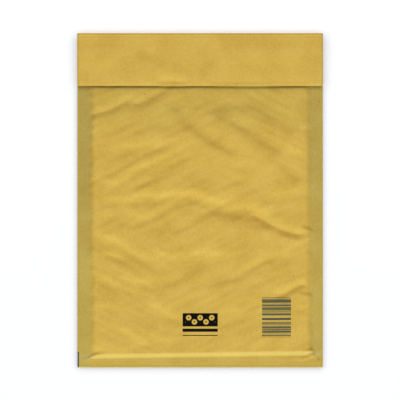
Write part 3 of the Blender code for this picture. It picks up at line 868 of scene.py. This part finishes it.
def bubble_field(name):
    """A bubble at each centre, as one piece, and how many there are."""
    corners, faces = one_bubble()
    centres = list(bubble_centres())
    all_corners = [(x + dx, y + dy, height) for x, y in centres for dx, dy, height in corners]
    all_faces = [[start + corner for corner in face]
                 for start in range(0, len(all_corners), len(corners)) for face in faces]
    mesh = bpy.data.meshes.new(name)
    mesh.from_pydata(all_corners, [], all_faces)
    return linked_piece(mesh, name), len(centres)


def bubbles_on_wall(name, wall_z, inwards):
    """The bubble field, with shares of height turned into heights over one wall."""
    piece, count = bubble_field(name)
    place = places(piece)
    face = wall_z(place[:, 0], place[:, 1]) + inwards * FILM
    tip = MIDDLE_Z - inwards * POCKET_HALF
    place[:, 2] = face + place[:, 2] * (tip - face)
    move_to(piece, place)
    # The foot inside the film is shaded flat, so that the dome above it is shaded as if it ended there
    for polygon in piece.data.polygons:
        polygon.use_smooth = len(polygon.vertices) < BUBBLE_ROUND
    if inwards < 0:
        piece.data.flip_normals()
    print(name + ":", count, "bubbles")
    return piece


front_bubbles = bubbles_on_wall("film_front_bubbles", film_front_z, -1)
back_bubbles = bubbles_on_wall("film_back_bubbles", film_back_z, 1)

# %% [markdown]
# Two bands cross the inside of the flap: the tacky glue, and over it the smooth paper that is peeled
# off before the bag is closed. Both are thin grids that hang below the flap by the same rule.

# %% Glue strip and its cover
GLUE_FROM_EDGE = 0.0065
GLUE_WIDTH = 0.0160
GLUE_LOW_Y = FLAP_EDGE_Y + GLUE_FROM_EDGE
GLUE_HIGH_Y = GLUE_LOW_Y + GLUE_WIDTH
COVER_OVERHANG = 0.0020
BAND_GAP = GAP / 3
BAND_INSET = 0.0004
BAND_CELL_X = 0.0025
BAND_CELL_Y = 0.0010


def flap_band(name, low_y, high_y, below_flap, thickness):
    """A thin band across the inside of the flap."""
    columns = stations(-HALF_WIDTH + BAND_INSET, HALF_WIDTH - BAND_INSET, BAND_CELL_X)
    piece = mesh_from(station_grid(columns, stations(low_y, high_y, BAND_CELL_Y)), name)
    keep_flat_places(piece, "flat_sheet")
    place = places(piece)
    place[:, 2] = flap_z(place[:, 0], place[:, 1]) - PAPER - below_flap
    move_to(piece, place)
    add_thickness(piece, thickness)
    return piece


glue_band = flap_band("glue_band", GLUE_LOW_Y, GLUE_HIGH_Y, BAND_GAP, GLUE)
cover_band = flap_band("cover_band", GLUE_LOW_Y - COVER_OVERHANG, GLUE_HIGH_Y + COVER_OVERHANG,
                       BAND_GAP + GLUE + BAND_GAP, COVER)
print("glue band", round(GLUE_WIDTH / MM, 1), "mm wide under the flap")

# %% [markdown]
# Materials are small networks of nodes. A handful of helpers keep them readable: they plug sockets, do
# arithmetic, mix colours, and make soft ramps, noise and bumps.

# %% Helpers for materials
# A Mix node has several sockets of the same name, so those for colours are known by number
COLOUR_A, COLOUR_B, MIXED_COLOUR = 6, 7, 2
WHITE = (1.0, 1.0, 1.0, 1.0)


def srgb(red, green, blue):
    """A colour as read off a picture, 0 to 255, in the linear values that shaders use."""
    def linear(value):
        """One channel."""
        value /= 255
        return value / 12.92 if value <= 0.04045 else ((value + 0.055) / 1.055) ** 2.4
    return (linear(red), linear(green), linear(blue), 1.0)


def plug(tree, socket, value):
    """Links a socket to a socket, or sets it to a number or a colour."""
    if isinstance(value, bpy.types.NodeSocket):
        tree.links.new(value, socket)
    elif value is not None:
        socket.default_value = value


def maths(tree, operation, first, second=None, third=None):
    """One arithmetic step."""
    made = tree.nodes.new("ShaderNodeMath")
    made.operation = operation
    for socket, value in zip(made.inputs, (first, second, third)):
        plug(tree, socket, value)
    return made.outputs[0]


def times(tree, first, second):
    """One number multiplied by another."""
    return maths(tree, "MULTIPLY", first, second)


def rest_of(tree, share):
    """What a share leaves over."""
    return maths(tree, "SUBTRACT", 1.0, share)


def blend_colours(tree, share, first, second, mode="MIX"):
    """Two colours mixed by a share."""
    made = tree.nodes.new("ShaderNodeMix")
    made.data_type = "RGBA"
    made.blend_type = mode
    plug(tree, made.inputs["Factor"], share)
    plug(tree, made.inputs[COLOUR_A], first)
    plug(tree, made.inputs[COLOUR_B], second)
    return made.outputs[MIXED_COLOUR]


def tinted(tree, share, colour, tint):
    """A colour multiplied by a tint, as far as a share says."""
    return blend_colours(tree, share, colour, tint, "MULTIPLY")


def ramp_between(tree, value, low, high):
    """0 below low, 1 above high, and a soft step between; low may be the larger one."""
    made = tree.nodes.new("ShaderNodeMapRange")
    made.interpolation_type = "SMOOTHSTEP"
    plug(tree, made.inputs["Value"], value)
    made.inputs["From Min"].default_value = min(low, high)
    made.inputs["From Max"].default_value = max(low, high)
    made.inputs["To Min"].default_value = 0.0 if low < high else 1.0
    made.inputs["To Max"].default_value = 1.0 if low < high else 0.0
    return made.outputs["Result"]


def noise_share(tree, place, features_per_metre, detail=2.0, stretch=(1.0, 1.0, 1.0)):
    """Noise from 0 to 1 on a place, finer for more features per metre."""
    mapping = tree.nodes.new("ShaderNodeMapping")
    plug(tree, mapping.inputs["Vector"], place)
    mapping.inputs["Scale"].default_value = stretch
    made = tree.nodes.new("ShaderNodeTexNoise")
    plug(tree, made.inputs["Vector"], mapping.outputs["Vector"])
    made.inputs["Scale"].default_value = features_per_metre
    made.inputs["Detail"].default_value = detail
    return made.outputs["Fac"]


def inside(tree, value, middle, half):
    """1 where a number lies within half of the middle."""
    away = maths(tree, "ABSOLUTE", maths(tree, "SUBTRACT", value, middle))
    return maths(tree, "LESS_THAN", away, half)


def row_on_sheet(row):
    """How far down the flat front panel a pixel row of the photograph lies."""
    return LIP_Y - up(row)


def on_sheet(column, row):
    """A pixel of the photograph as a place on the flat front panel."""
    return across(column), row_on_sheet(row)


def ramp_over_rows(tree, v, start, end):
    """0 at one pixel row of the photograph, 1 at the other, and a soft step between."""
    return ramp_between(tree, v, row_on_sheet(start), row_on_sheet(end))


def seen_directly(tree):
    """1 on rays from the camera, also by way of a mirror or clear film, and 0 on rays that only light."""
    rays = tree.nodes.new("ShaderNodeLightPath").outputs
    return maths(tree, "MAXIMUM", rays["Is Camera Ray"],
                 maths(tree, "MAXIMUM", rays["Is Glossy Ray"], rays["Is Transmission Ray"]))


def new_material(name):
    """A new material, its tree of nodes and its Principled shader."""
    made = bpy.data.materials.new(name)
    made.use_nodes = True
    tree = made.node_tree
    shader = tree.nodes["Principled BSDF"]
    return made, tree, shader


def sheet_place(tree):
    """The place on the flat sheet, whole and as its two numbers."""
    source = tree.nodes.new("ShaderNodeUVMap")
    source.uv_map = "flat_sheet"
    split = tree.nodes.new("ShaderNodeSeparateXYZ")
    tree.links.new(source.outputs["UV"], split.inputs["Vector"])
    return source.outputs["UV"], split.outputs["X"], split.outputs["Y"]


def bump(tree, shader, height, distance, strength):
    """Raises the surface by a height map, for what is too small to model."""
    made = tree.nodes.new("ShaderNodeBump")
    made.inputs["Strength"].default_value = strength
    made.inputs["Distance"].default_value = distance
    plug(tree, made.inputs["Height"], height)
    tree.links.new(made.outputs["Normal"], shader.inputs["Normal"])


# %% [markdown]
# Golden kraft paper is dyed pulp: even from afar, but cloudy up close, with short fibres and a few dark
# specks. Along the welded borders the paper is coloured greyer and darker, more so towards their top.
# The slope above the bottom seal has painted sheen, the top fold painted light, the panel by the flap
# painted shade and a painted shadow along the flap's edge. All of this reads the flat sheet's own map.

# %% Kraft paper
KRAFT = srgb(211, 176, 80)
KRAFT_DEEP = srgb(202, 164, 71)
KRAFT_PALE = srgb(218, 187, 93)
# The borders are coloured greyer and darker than the panel
SEALED = srgb(190, 166, 81)
SEALED_RIGHT = srgb(191, 166, 82)
SEALED_BOTTOM = srgb(200, 170, 80)
# Painted sheen on the slope above the bottom seal
SHEEN_PAINTED_ON_SLOPE = srgb(208, 188, 106)
UPPER_SHADE = (0.86, 0.855, 0.90, 1.0)
# Painted shade on the panel near the flap
SHADE_PAINTED_NEAR_FLAP = (0.925, 0.955, 1.0, 1.0)
# Painted shadow along the flap's free edge
SHADOW_PAINTED_AT_FLAP_EDGE = (0.84, 0.93, 1.06, 1.0)
# Painted light on the top fold
LIGHT_PAINTED_ON_FOLD = (1.22, 1.28, 1.06, 1.0)
SPECK = srgb(144, 109, 56)
PAPER_GLOSS = 0.06
CLOUDS_PER_METRE = 45.0
MOTTLE_PER_METRE = 420.0
FIBRES_PER_METRE = 1500.0
SPECKS_PER_METRE = 520.0
FIBRE_STRETCH = (0.45, 1.0, 1.0)
CLOUD_PART = 0.36
MOTTLE_PART = 0.26
FIBRE_PART = 0.38


def kraft_colour(tree, place):
    """Cloudy golden paper with fine fibres and a few specks."""
    clouds = noise_share(tree, place, CLOUDS_PER_METRE, detail=3.0)
    mottle = noise_share(tree, place, MOTTLE_PER_METRE, detail=3.0)
    fibres = noise_share(tree, place, FIBRES_PER_METRE, detail=2.0, stretch=FIBRE_STRETCH)
    mixed = maths(tree, "ADD", times(tree, ramp_between(tree, clouds, 0.30, 0.70), CLOUD_PART),
                  times(tree, ramp_between(tree, mottle, 0.25, 0.75), MOTTLE_PART))
    mixed = maths(tree, "ADD", mixed, times(tree, ramp_between(tree, fibres, 0.3, 0.7), FIBRE_PART))
    base = blend_colours(tree, ramp_between(tree, mixed, 0.10, 0.55), KRAFT_DEEP, KRAFT)
    base = blend_colours(tree, ramp_between(tree, mixed, 0.50, 0.95), base, KRAFT_PALE)
    specks = noise_share(tree, place, SPECKS_PER_METRE, detail=0.0)
    return blend_colours(tree, ramp_between(tree, specks, 0.90, 0.92), base, SPECK), fibres, mottle


SEAL_SWAYS_PER_METRE = 90.0
SEAL_SWAY = 0.0036
LEFT_SEAL_SOFT = 0.0054
LEFT_SEAL_PAST = 0.0002
RIGHT_SEAL_SOFT = 0.0056
COLOUR_LEAN = 1.6
CORNER_FADE = 0.7
FOOT_BEFORE = 0.0008
FOOT_PAST = 0.0006
BACK_FOOT_FROM = 0.001
BACK_FOOT_TO = 0.003
FOOT_SLOPE_START = 0.0046
FOOT_SLOPE_END = 0.0030


def border_shares(tree, place, u, v):
    """Shares: left, right and bottom border, the slope above the bottom one, and the upper part."""
    below_top_fold = maths(tree, "LESS_THAN", v, kraft_blank.back)
    noise = noise_share(tree, place, SEAL_SWAYS_PER_METRE, detail=2.0)
    sway = maths(tree, "MULTIPLY_ADD", noise, SEAL_SWAY, -SEAL_SWAY / 2)
    swayed = maths(tree, "ADD", u, sway)
    upper = ramp_over_rows(tree, v, 290, 150)
    leaning = maths(tree, "MULTIPLY_ADD", upper, RIGHT_LEAN * COLOUR_LEAN, swayed)
    left = ramp_between(tree, swayed, LEFT_SEAL_X + LEFT_SEAL_SOFT, LEFT_SEAL_X - LEFT_SEAL_PAST)
    left = times(tree, left, below_top_fold)
    right = ramp_between(tree, leaning, RIGHT_SEAL_X - RIGHT_SEAL_SOFT, RIGHT_SEAL_X)
    right = times(tree, right, below_top_fold)
    corner = inside(tree, v, kraft_blank.front, row_on_sheet(367) - row_on_sheet(355))
    right = times(tree, right, rest_of(tree, times(tree, corner, CORNER_FADE)))
    skewed = maths(tree, "ADD", v, times(tree, u, BOTTOM_SKEW))
    foot = LIP_Y - BOTTOM_SEAL_Y
    back_foot = 2 * kraft_blank.front - foot
    low = ramp_between(tree, skewed, foot - FOOT_BEFORE, foot + FOOT_PAST)
    high = ramp_between(tree, v, back_foot + BACK_FOOT_TO, back_foot + BACK_FOOT_FROM)
    slope = ramp_between(tree, skewed, foot - FOOT_SLOPE_START, foot - FOOT_SLOPE_END)
    slope = times(tree, slope, rest_of(tree, low))
    return left, right, times(tree, low, high), slope, upper


# %% [markdown]
# The front carries plain print in two dark inks: a panel with a row of knocked-out bubbles over two
# rules, a block of bars, and a thin mark on the left edge that a machine reads. Each is a shape worked
# out from the place on the sheet. A share of 1 is ink.

# %% Shapes of the print
PANEL_COLUMN = 200.2
PANEL_ROW = 319.6
PANEL_HALF = (0.0143, 0.0054)
RINGS_HALF = (0.0120, 0.0050)
RING_PITCH = 0.0047
RING_STAGGER = 0.0034
RING_RADIUS = 0.0022
RING_CORE = 0.0006
THICK_RULE_ROW = 330.0
THICK_RULE_HALF = (0.0143, 0.0013)
THIN_RULE_ROW = 335.2
THIN_RULE_HALF = (0.0143, 0.00035)


def rectangle(tree, u, v, middle, half):
    """1 inside a rectangle."""
    return times(tree, inside(tree, u, middle[0], half[0]), inside(tree, v, middle[1], half[1]))


def bubble_panel(tree, u, v):
    """A dark panel with a staggered row of knocked-out rings, over two rules."""
    middle = on_sheet(PANEL_COLUMN, PANEL_ROW)
    panel = rectangle(tree, u, v, middle, PANEL_HALF)
    from_middle = maths(tree, "SUBTRACT", u, middle[0])
    number = maths(tree, "ROUND", maths(tree, "DIVIDE", from_middle, RING_PITCH))
    off_u = maths(tree, "SUBTRACT", from_middle, times(tree, number, RING_PITCH))
    parity = maths(tree, "PINGPONG", number, 1.0)
    lift = times(tree, maths(tree, "SUBTRACT", parity, 0.5), RING_STAGGER)
    off_v = maths(tree, "SUBTRACT", maths(tree, "SUBTRACT", v, middle[1]), lift)
    away = maths(tree, "SQRT", maths(tree, "ADD", times(tree, off_u, off_u), times(tree, off_v, off_v)))
    ring = maths(tree, "LESS_THAN", away, RING_RADIUS)
    core = maths(tree, "LESS_THAN", away, RING_CORE)
    within = rectangle(tree, u, v, middle, RINGS_HALF)
    knocked_out = times(tree, maths(tree, "SUBTRACT", ring, core), within)
    panel = maths(tree, "SUBTRACT", panel, knocked_out)
    thick_rule = rectangle(tree, u, v, on_sheet(PANEL_COLUMN, THICK_RULE_ROW), THICK_RULE_HALF)
    thin_rule = rectangle(tree, u, v, on_sheet(PANEL_COLUMN, THIN_RULE_ROW), THIN_RULE_HALF)
    return maths(tree, "MAXIMUM", panel, maths(tree, "MAXIMUM", thick_rule, thin_rule))


BARS_COLUMN = 276.4
BARS_ROW = 317.1
BARS_HALF = (0.0118, 0.0162)
BAR_TILT = 0.006
BAR_MODULE = 0.00033
BAR_PITCH = 0.00262
BAR_SHARE = 0.30
BAR_SWAY = 0.0005
BAR_SWAY_RATE = 620.0
THIN_BARS_ABOVE = 0.56


def bar_block(tree, u, v):
    """Plain bars across a block: broad ones at a swaying pitch, and thin ones at random between them."""
    middle = on_sheet(BARS_COLUMN, BARS_ROW)
    block = rectangle(tree, u, v, middle, BARS_HALF)
    tilted = maths(tree, "ADD", v, times(tree, u, BAR_TILT))
    sway = times(tree, maths(tree, "SINE", times(tree, tilted, BAR_SWAY_RATE)), BAR_SWAY)
    turns = maths(tree, "DIVIDE", maths(tree, "ADD", tilted, sway), BAR_PITCH)
    broad = maths(tree, "LESS_THAN", maths(tree, "FRACT", turns), BAR_SHARE)
    module = maths(tree, "FLOOR", maths(tree, "DIVIDE", tilted, BAR_MODULE))
    random = tree.nodes.new("ShaderNodeTexWhiteNoise")
    random.noise_dimensions = "1D"
    tree.links.new(module, random.inputs["W"])
    thin = maths(tree, "GREATER_THAN", random.outputs["Value"], THIN_BARS_ABOVE)
    ends = rest_of(tree, inside(tree, v, middle[1], BARS_HALF[1] - BAR_MODULE))
    bars = maths(tree, "MAXIMUM", maths(tree, "MAXIMUM", broad, thin), ends)
    return times(tree, block, bars)


MARK_ROW = 351.7
MARK_PAST_FOLD = 0.0030
MARK_WIDTH = 0.0012


def edge_mark(tree, u, v):
    """A thin mark on the left edge, above and round the bottom fold."""
    top = row_on_sheet(MARK_ROW)
    end = kraft_blank.bottom_fold + MARK_PAST_FOLD
    return rectangle(tree, u, v, (-HALF_WIDTH, (top + end) / 2), (MARK_WIDTH, (end - top) / 2))


# %% Put the kraft materials together
BLACK_INK = srgb(6, 5, 4)
BAR_INK = srgb(60, 75, 66)
MARK_INK = srgb(56, 74, 78)
RIM = srgb(187, 162, 67)
BAR_COVER = 0.92
MARK_COVER = 0.95
RIM_COVER = 0.75
# How much of the painted sheen covers that slope
SHEEN_PAINTED_COVER = 0.55
UPPER_RIGHT_PART = 0.4
# Where the painted light on the top fold lies
LIGHT_PAINTED_FOLD_BEFORE = 0.0014
LIGHT_PAINTED_FOLD_HALF = 0.0016
SIDE_RIM = 0.0012
BOTTOM_RIM_HALF = 0.0014
LONE_SPECK = (144.9, 94.6)
LONE_SPECK_HALF = (0.0004, 0.0004)


def shade_of(colour):
    """A colour as a share of plain kraft, to be multiplied with it."""
    return tuple(colour[index] / KRAFT[index] for index in range(3)) + (1.0,)


def shaded_kraft(tree, place, u, v, colour):
    """Kraft paper with greyer borders, painted sheen on the bottom slope, painted shade and shadow by the
    flap, and painted light on the top fold.
    """
    left, right, bottom, slope, upper = border_shares(tree, place, u, v)
    # Painted sheen: the slope above the bottom seal is coloured paler and greener
    colour = blend_colours(tree, times(tree, slope, SHEEN_PAINTED_COVER), colour, SHEEN_PAINTED_ON_SLOPE)
    sealed = blend_colours(tree, left, WHITE, shade_of(SEALED))
    sealed = blend_colours(tree, right, sealed, shade_of(SEALED_RIGHT))
    upper = times(tree, upper, maths(tree, "MULTIPLY_ADD", right, UPPER_RIGHT_PART, left))
    sealed = blend_colours(tree, upper, sealed, tinted(tree, 1.0, sealed, UPPER_SHADE))
    colour = tinted(tree, 1.0, colour, sealed)
    panel_only = rest_of(tree, maths(tree, "MAXIMUM", left, right))
    near_flap = ramp_over_rows(tree, v, 155, 105)
    at_edge = times(tree, ramp_over_rows(tree, v, 90.5, 86.5), ramp_over_rows(tree, v, 82.5, 85.5))
    # Painted shade: the panel is darkened near the flap, in the hollow under it
    colour = tinted(tree, times(tree, near_flap, panel_only), colour, SHADE_PAINTED_NEAR_FLAP)
    # Painted shadow: a greyer, darker band along the flap's free edge
    colour = tinted(tree, times(tree, at_edge, panel_only), colour, SHADOW_PAINTED_AT_FLAP_EDGE)
    lower = blend_colours(tree, times(tree, bottom, panel_only), WHITE, shade_of(SEALED_BOTTOM))
    colour = tinted(tree, 1.0, colour, lower)
    # Painted light: the top fold is coloured paler, against the shade of its curve
    fold = inside(tree, v, kraft_blank.top_fold - LIGHT_PAINTED_FOLD_BEFORE, LIGHT_PAINTED_FOLD_HALF)
    return tinted(tree, fold, colour, LIGHT_PAINTED_ON_FOLD)


def make_kraft_outside():
    """The printed side of the kraft sheet."""
    made, tree, shader = new_material("kraft_printed_side")
    place, u, v = sheet_place(tree)
    colour, fibres, mottle = kraft_colour(tree, place)
    colour = shaded_kraft(tree, place, u, v, colour)
    rim = maths(tree, "GREATER_THAN", maths(tree, "ABSOLUTE", u), HALF_WIDTH - SIDE_RIM)
    rim = maths(tree, "MAXIMUM", rim, inside(tree, v, kraft_blank.front, BOTTOM_RIM_HALF))
    panel = times(tree, bubble_panel(tree, u, v), ramp_between(tree, fibres, 0.05, 0.20))
    speck = rectangle(tree, u, v, on_sheet(*LONE_SPECK), LONE_SPECK_HALF)
    colour = blend_colours(tree, times(tree, rim, RIM_COVER), colour, RIM)
    colour = blend_colours(tree, times(tree, bar_block(tree, u, v), BAR_COVER), colour, BAR_INK)
    colour = blend_colours(tree, panel, colour, BLACK_INK)
    colour = blend_colours(tree, times(tree, edge_mark(tree, u, v), MARK_COVER), colour, MARK_INK)
    colour = blend_colours(tree, speck, colour, SPECK)
    plug(tree, shader.inputs["Base Color"], colour)
    shader.inputs["Specular IOR Level"].default_value = PAPER_GLOSS
    plug(tree, shader.inputs["Roughness"], maths(tree, "MULTIPLY_ADD", mottle, 0.16, 0.62))
    fine = maths(tree, "ADD", fibres, times(tree, mottle, 0.6))
    bump(tree, shader, fine, distance=0.00006, strength=0.55)
    return made


def make_kraft_inside():
    """The plain inner side of the kraft sheet."""
    made, tree, shader = new_material("kraft_inner_side")
    colour, fibres, mottle = kraft_colour(tree, sheet_place(tree)[0])
    plug(tree, shader.inputs["Base Color"], colour)
    plug(tree, shader.inputs["Roughness"], maths(tree, "MULTIPLY_ADD", mottle, 0.15, 0.65))
    shader.inputs["Specular IOR Level"].default_value = PAPER_GLOSS
    bump(tree, shader, fibres, distance=0.00005, strength=0.6)
    return made


kraft.data.materials.append(make_kraft_outside())
kraft.data.materials.append(make_kraft_inside())
print("kraft materials:", [slot.name for slot in kraft.data.materials])

# %% [markdown]
# The film is clear, soft polythene. A little transmission and a faint bluish tint are enough, with
# low roughness and a weak bump for the rub marks. Its glue partner is pale and slightly rippled from
# the nozzle, and the cover is a smooth coated paper.

# %% Film, glue and cover paper
def make_film():
    """Clear polythene with a slight haze."""
    made, tree, shader = new_material("clear_bubble_film")
    place = tree.nodes.new("ShaderNodeTexCoord").outputs["Object"]
    haze = noise_share(tree, place, 160.0, detail=3.0)
    plug(tree, shader.inputs["Base Color"],
         blend_colours(tree, haze, srgb(226, 234, 238), srgb(244, 248, 250)))
    plug(tree, shader.inputs["Roughness"], maths(tree, "MULTIPLY_ADD", haze, 0.20, 0.12))
    shader.inputs["Transmission Weight"].default_value = 0.75
    shader.inputs["IOR"].default_value = 1.49
    bump(tree, shader, noise_share(tree, place, 500.0, detail=2.0), distance=0.00004, strength=0.4)
    return made


def make_glue():
    """Tacky glue, streaked along the band."""
    made, tree, shader = new_material("tacky_glue")
    place = sheet_place(tree)[0]
    streaks = noise_share(tree, place, 900.0, detail=2.0, stretch=(0.08, 1.0, 1.0))
    plug(tree, shader.inputs["Base Color"],
         blend_colours(tree, streaks, srgb(214, 198, 150), srgb(232, 220, 178)))
    shader.inputs["Roughness"].default_value = 0.28
    shader.inputs["Coat Weight"].default_value = 0.3
    bump(tree, shader, streaks, distance=0.00005, strength=0.7)
    return made


def make_cover_paper():
    """Smooth coated paper."""
    made, tree, shader = new_material("smooth_cover_paper")
    place = sheet_place(tree)[0]
    grain = noise_share(tree, place, 1100.0, detail=3.0)
    plug(tree, shader.inputs["Base Color"],
         blend_colours(tree, grain, srgb(232, 231, 224), srgb(243, 242, 238)))
    plug(tree, shader.inputs["Roughness"], maths(tree, "MULTIPLY_ADD", grain, 0.1, 0.34))
    bump(tree, shader, grain, distance=0.00002, strength=0.5)
    return made


film_material = make_film()
for piece in (film, front_bubbles, back_bubbles):
    piece.data.materials.append(film_material)
glue_band.data.materials.append(make_glue())
cover_band.data.materials.append(make_cover_paper())

# %% [markdown]
# Every new piece is tied to the body that it moves with, and the frame's solid that it stands for is
# hidden.

# %% Tie the pieces to the frame
for piece, nodes, slot in (
    (kraft, ("kraft_envelope",), "kraft_paper"),
    (film, ("bubble_lining",), "bubble_film"),
    (front_bubbles, ("bubble_lining",), "bubble_film"),
    (back_bubbles, ("bubble_lining",), "bubble_film"),
    (glue_band, ("glue_strip",), "hot_melt_glue"),
    (cover_band, ("peel_off_cover",), "cover_paper"),
):
    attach(piece, "root")
    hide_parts(*nodes)

# %% [markdown]
# The stage is a large white floor. To the camera it is a pure white that still takes the shadow of
# the bag, and to everything else it is a quieter white, so that it doesn't flood the bag with light
# from below. Part of its white glows, which keeps the shadow as faint as on a scanner's lid.

# %% Floor
FLOOR_GLOW = 0.10
FLOOR_WHITE = 1.05
FLOOR_TINT = (0.975, 1.0, 1.03)
FLOOR_HALF = 2.0
QUIET_DARKEST = (0.80, 0.80, 0.80, 1.0)
QUIET_LIGHTEST = (0.82, 0.82, 0.82, 1.0)


def make_floor():
    """The floor with its material."""
    bm = bmesh.new()
    bmesh.ops.create_grid(bm, x_segments=1, y_segments=1, size=FLOOR_HALF)
    floor = mesh_from(bm, "floor")
    made, tree, shader = new_material("white_floor")
    seen = seen_directly(tree)
    grain = noise_share(tree, tree.nodes.new("ShaderNodeTexCoord").outputs["Object"], 30.0)
    quiet = blend_colours(tree, grain, QUIET_DARKEST, QUIET_LIGHTEST)
    shown = FLOOR_WHITE - FLOOR_GLOW
    shown_colour = tuple(shown * share for share in FLOOR_TINT) + (1.0,)
    plug(tree, shader.inputs["Base Color"], blend_colours(tree, seen, quiet, shown_colour))
    shader.inputs["Emission Color"].default_value = WHITE
    plug(tree, shader.inputs["Emission Strength"], times(tree, seen, FLOOR_GLOW))
    shader.inputs["Roughness"].default_value = 1.0
    shader.inputs["Specular IOR Level"].default_value = 0.0
    floor.data.materials.append(made)
    return floor


floor = make_floor()

# %% [markdown]
# The light comes in low from the bottom of the picture, where it catches every slope that faces it,
# and weakly from the top, where the flap throws a thin shadow on the panel. Even light from all
# round fills the rest. Together they give a flat white surface a brightness of about 1, so colours
# come out as they were written. A low lamp would also draw a long shadow over the floor, so the floor
# is left out of both and has a wide lamp of its own overhead, with a short soft shadow all round. To
# the camera the world is white, so that no dark band shows beyond the floor.

# %% Lights and world
def light_power(share, distance, elevation):
    """Watts of a soft lamp that gives a flat surface this share of full brightness."""
    return share * math.pi ** 2 * distance ** 2 / math.sin(math.radians(elevation))


def add_lamp(name, azimuth, elevation, distance, share, size, colour):
    """A soft square lamp that shines at the middle of the bag."""
    lamp = bpy.data.lights.new(name, "AREA")
    lamp.shape = "RECTANGLE"
    lamp.size, lamp.size_y = size
    lamp.energy = light_power(share, distance, elevation)
    lamp.color = colour
    placed = bpy.data.objects.new(name, lamp)
    turn, rise = math.radians(azimuth), math.radians(elevation)
    place = Vector((math.sin(turn) * math.cos(rise), -math.cos(turn) * math.cos(rise), math.sin(rise)))
    placed.location = place * distance
    placed.rotation_euler = (-place).to_track_quat("-Z", "Y").to_euler()
    bpy.context.scene.collection.objects.link(placed)
    print(name, "at", round(lamp.energy, 1), "W")
    return placed


low_key = add_lamp("low_key", azimuth=0.0, elevation=37.0, distance=8.0,
                   share=0.585, size=(6.4, 2.2), colour=(0.94, 1.03, 1.02))
back_fill = add_lamp("back_fill", azimuth=180.0, elevation=42.0, distance=8.0,
                     share=0.13, size=(6.4, 2.0), colour=(1.08, 0.96, 0.97))
floor_light = add_lamp("floor_light", azimuth=180.0, elevation=78.0, distance=2.0,
                       share=1.90, size=(5.0, 5.0), colour=(0.97, 1.0, 1.02))


def light_only(lamp, piece, state):
    """Says whether a lamp lights one piece alone, INCLUDE, or all but that piece, EXCLUDE."""
    group = bpy.data.collections.new(lamp.name + "_reach")
    group.objects.link(piece)
    group.collection_objects[0].light_linking.link_state = state
    lamp.light_linking.receiver_collection = group


light_only(low_key, floor, "EXCLUDE")
light_only(back_fill, floor, "EXCLUDE")
light_only(floor_light, floor, "INCLUDE")

WORLD_LIGHT = 0.33
WORLD_SEEN_MORE = 0.67
WORLD_COLOUR = (1.10, 1.0, 0.99, 1.0)

world = bpy.data.worlds.new("even_light")
world.use_nodes = True
world_tree = world.node_tree
background = world_tree.nodes["Background"]
brightness = maths(world_tree, "MULTIPLY_ADD", seen_directly(world_tree), WORLD_SEEN_MORE, WORLD_LIGHT)
plug(world_tree, background.inputs["Strength"], brightness)
background.inputs["Color"].default_value = WORLD_COLOUR
bpy.context.scene.world = world

# %% [markdown]
# The photograph looks straight down. A long lens from far away keeps the edges parallel, as a flat
# scan would.

# %% Camera
PICTURE_PIXELS = 400
LENS = 200.0
SENSOR = 36.0
picture_width = PICTURE_PIXELS * PIXEL
camera_data = bpy.data.cameras.new("overhead")
camera_data.lens = LENS
camera_data.sensor_width = SENSOR
camera = bpy.data.objects.new("overhead", camera_data)
distance = picture_width / 2 / (SENSOR / 2 / LENS)
focus_x, focus_y = across(PICTURE_PIXELS / 2), up(PICTURE_PIXELS / 2)
camera.location = (focus_x, focus_y, MIDDLE_Z + SEAL_HALF + distance)
camera.rotation_euler = (0.0, 0.0, 0.0)
bpy.context.scene.collection.objects.link(camera)
bpy.context.scene.camera = camera
bpy.context.scene.view_settings.view_transform = "Standard"
print("camera", round(distance, 3), "m above the bag")
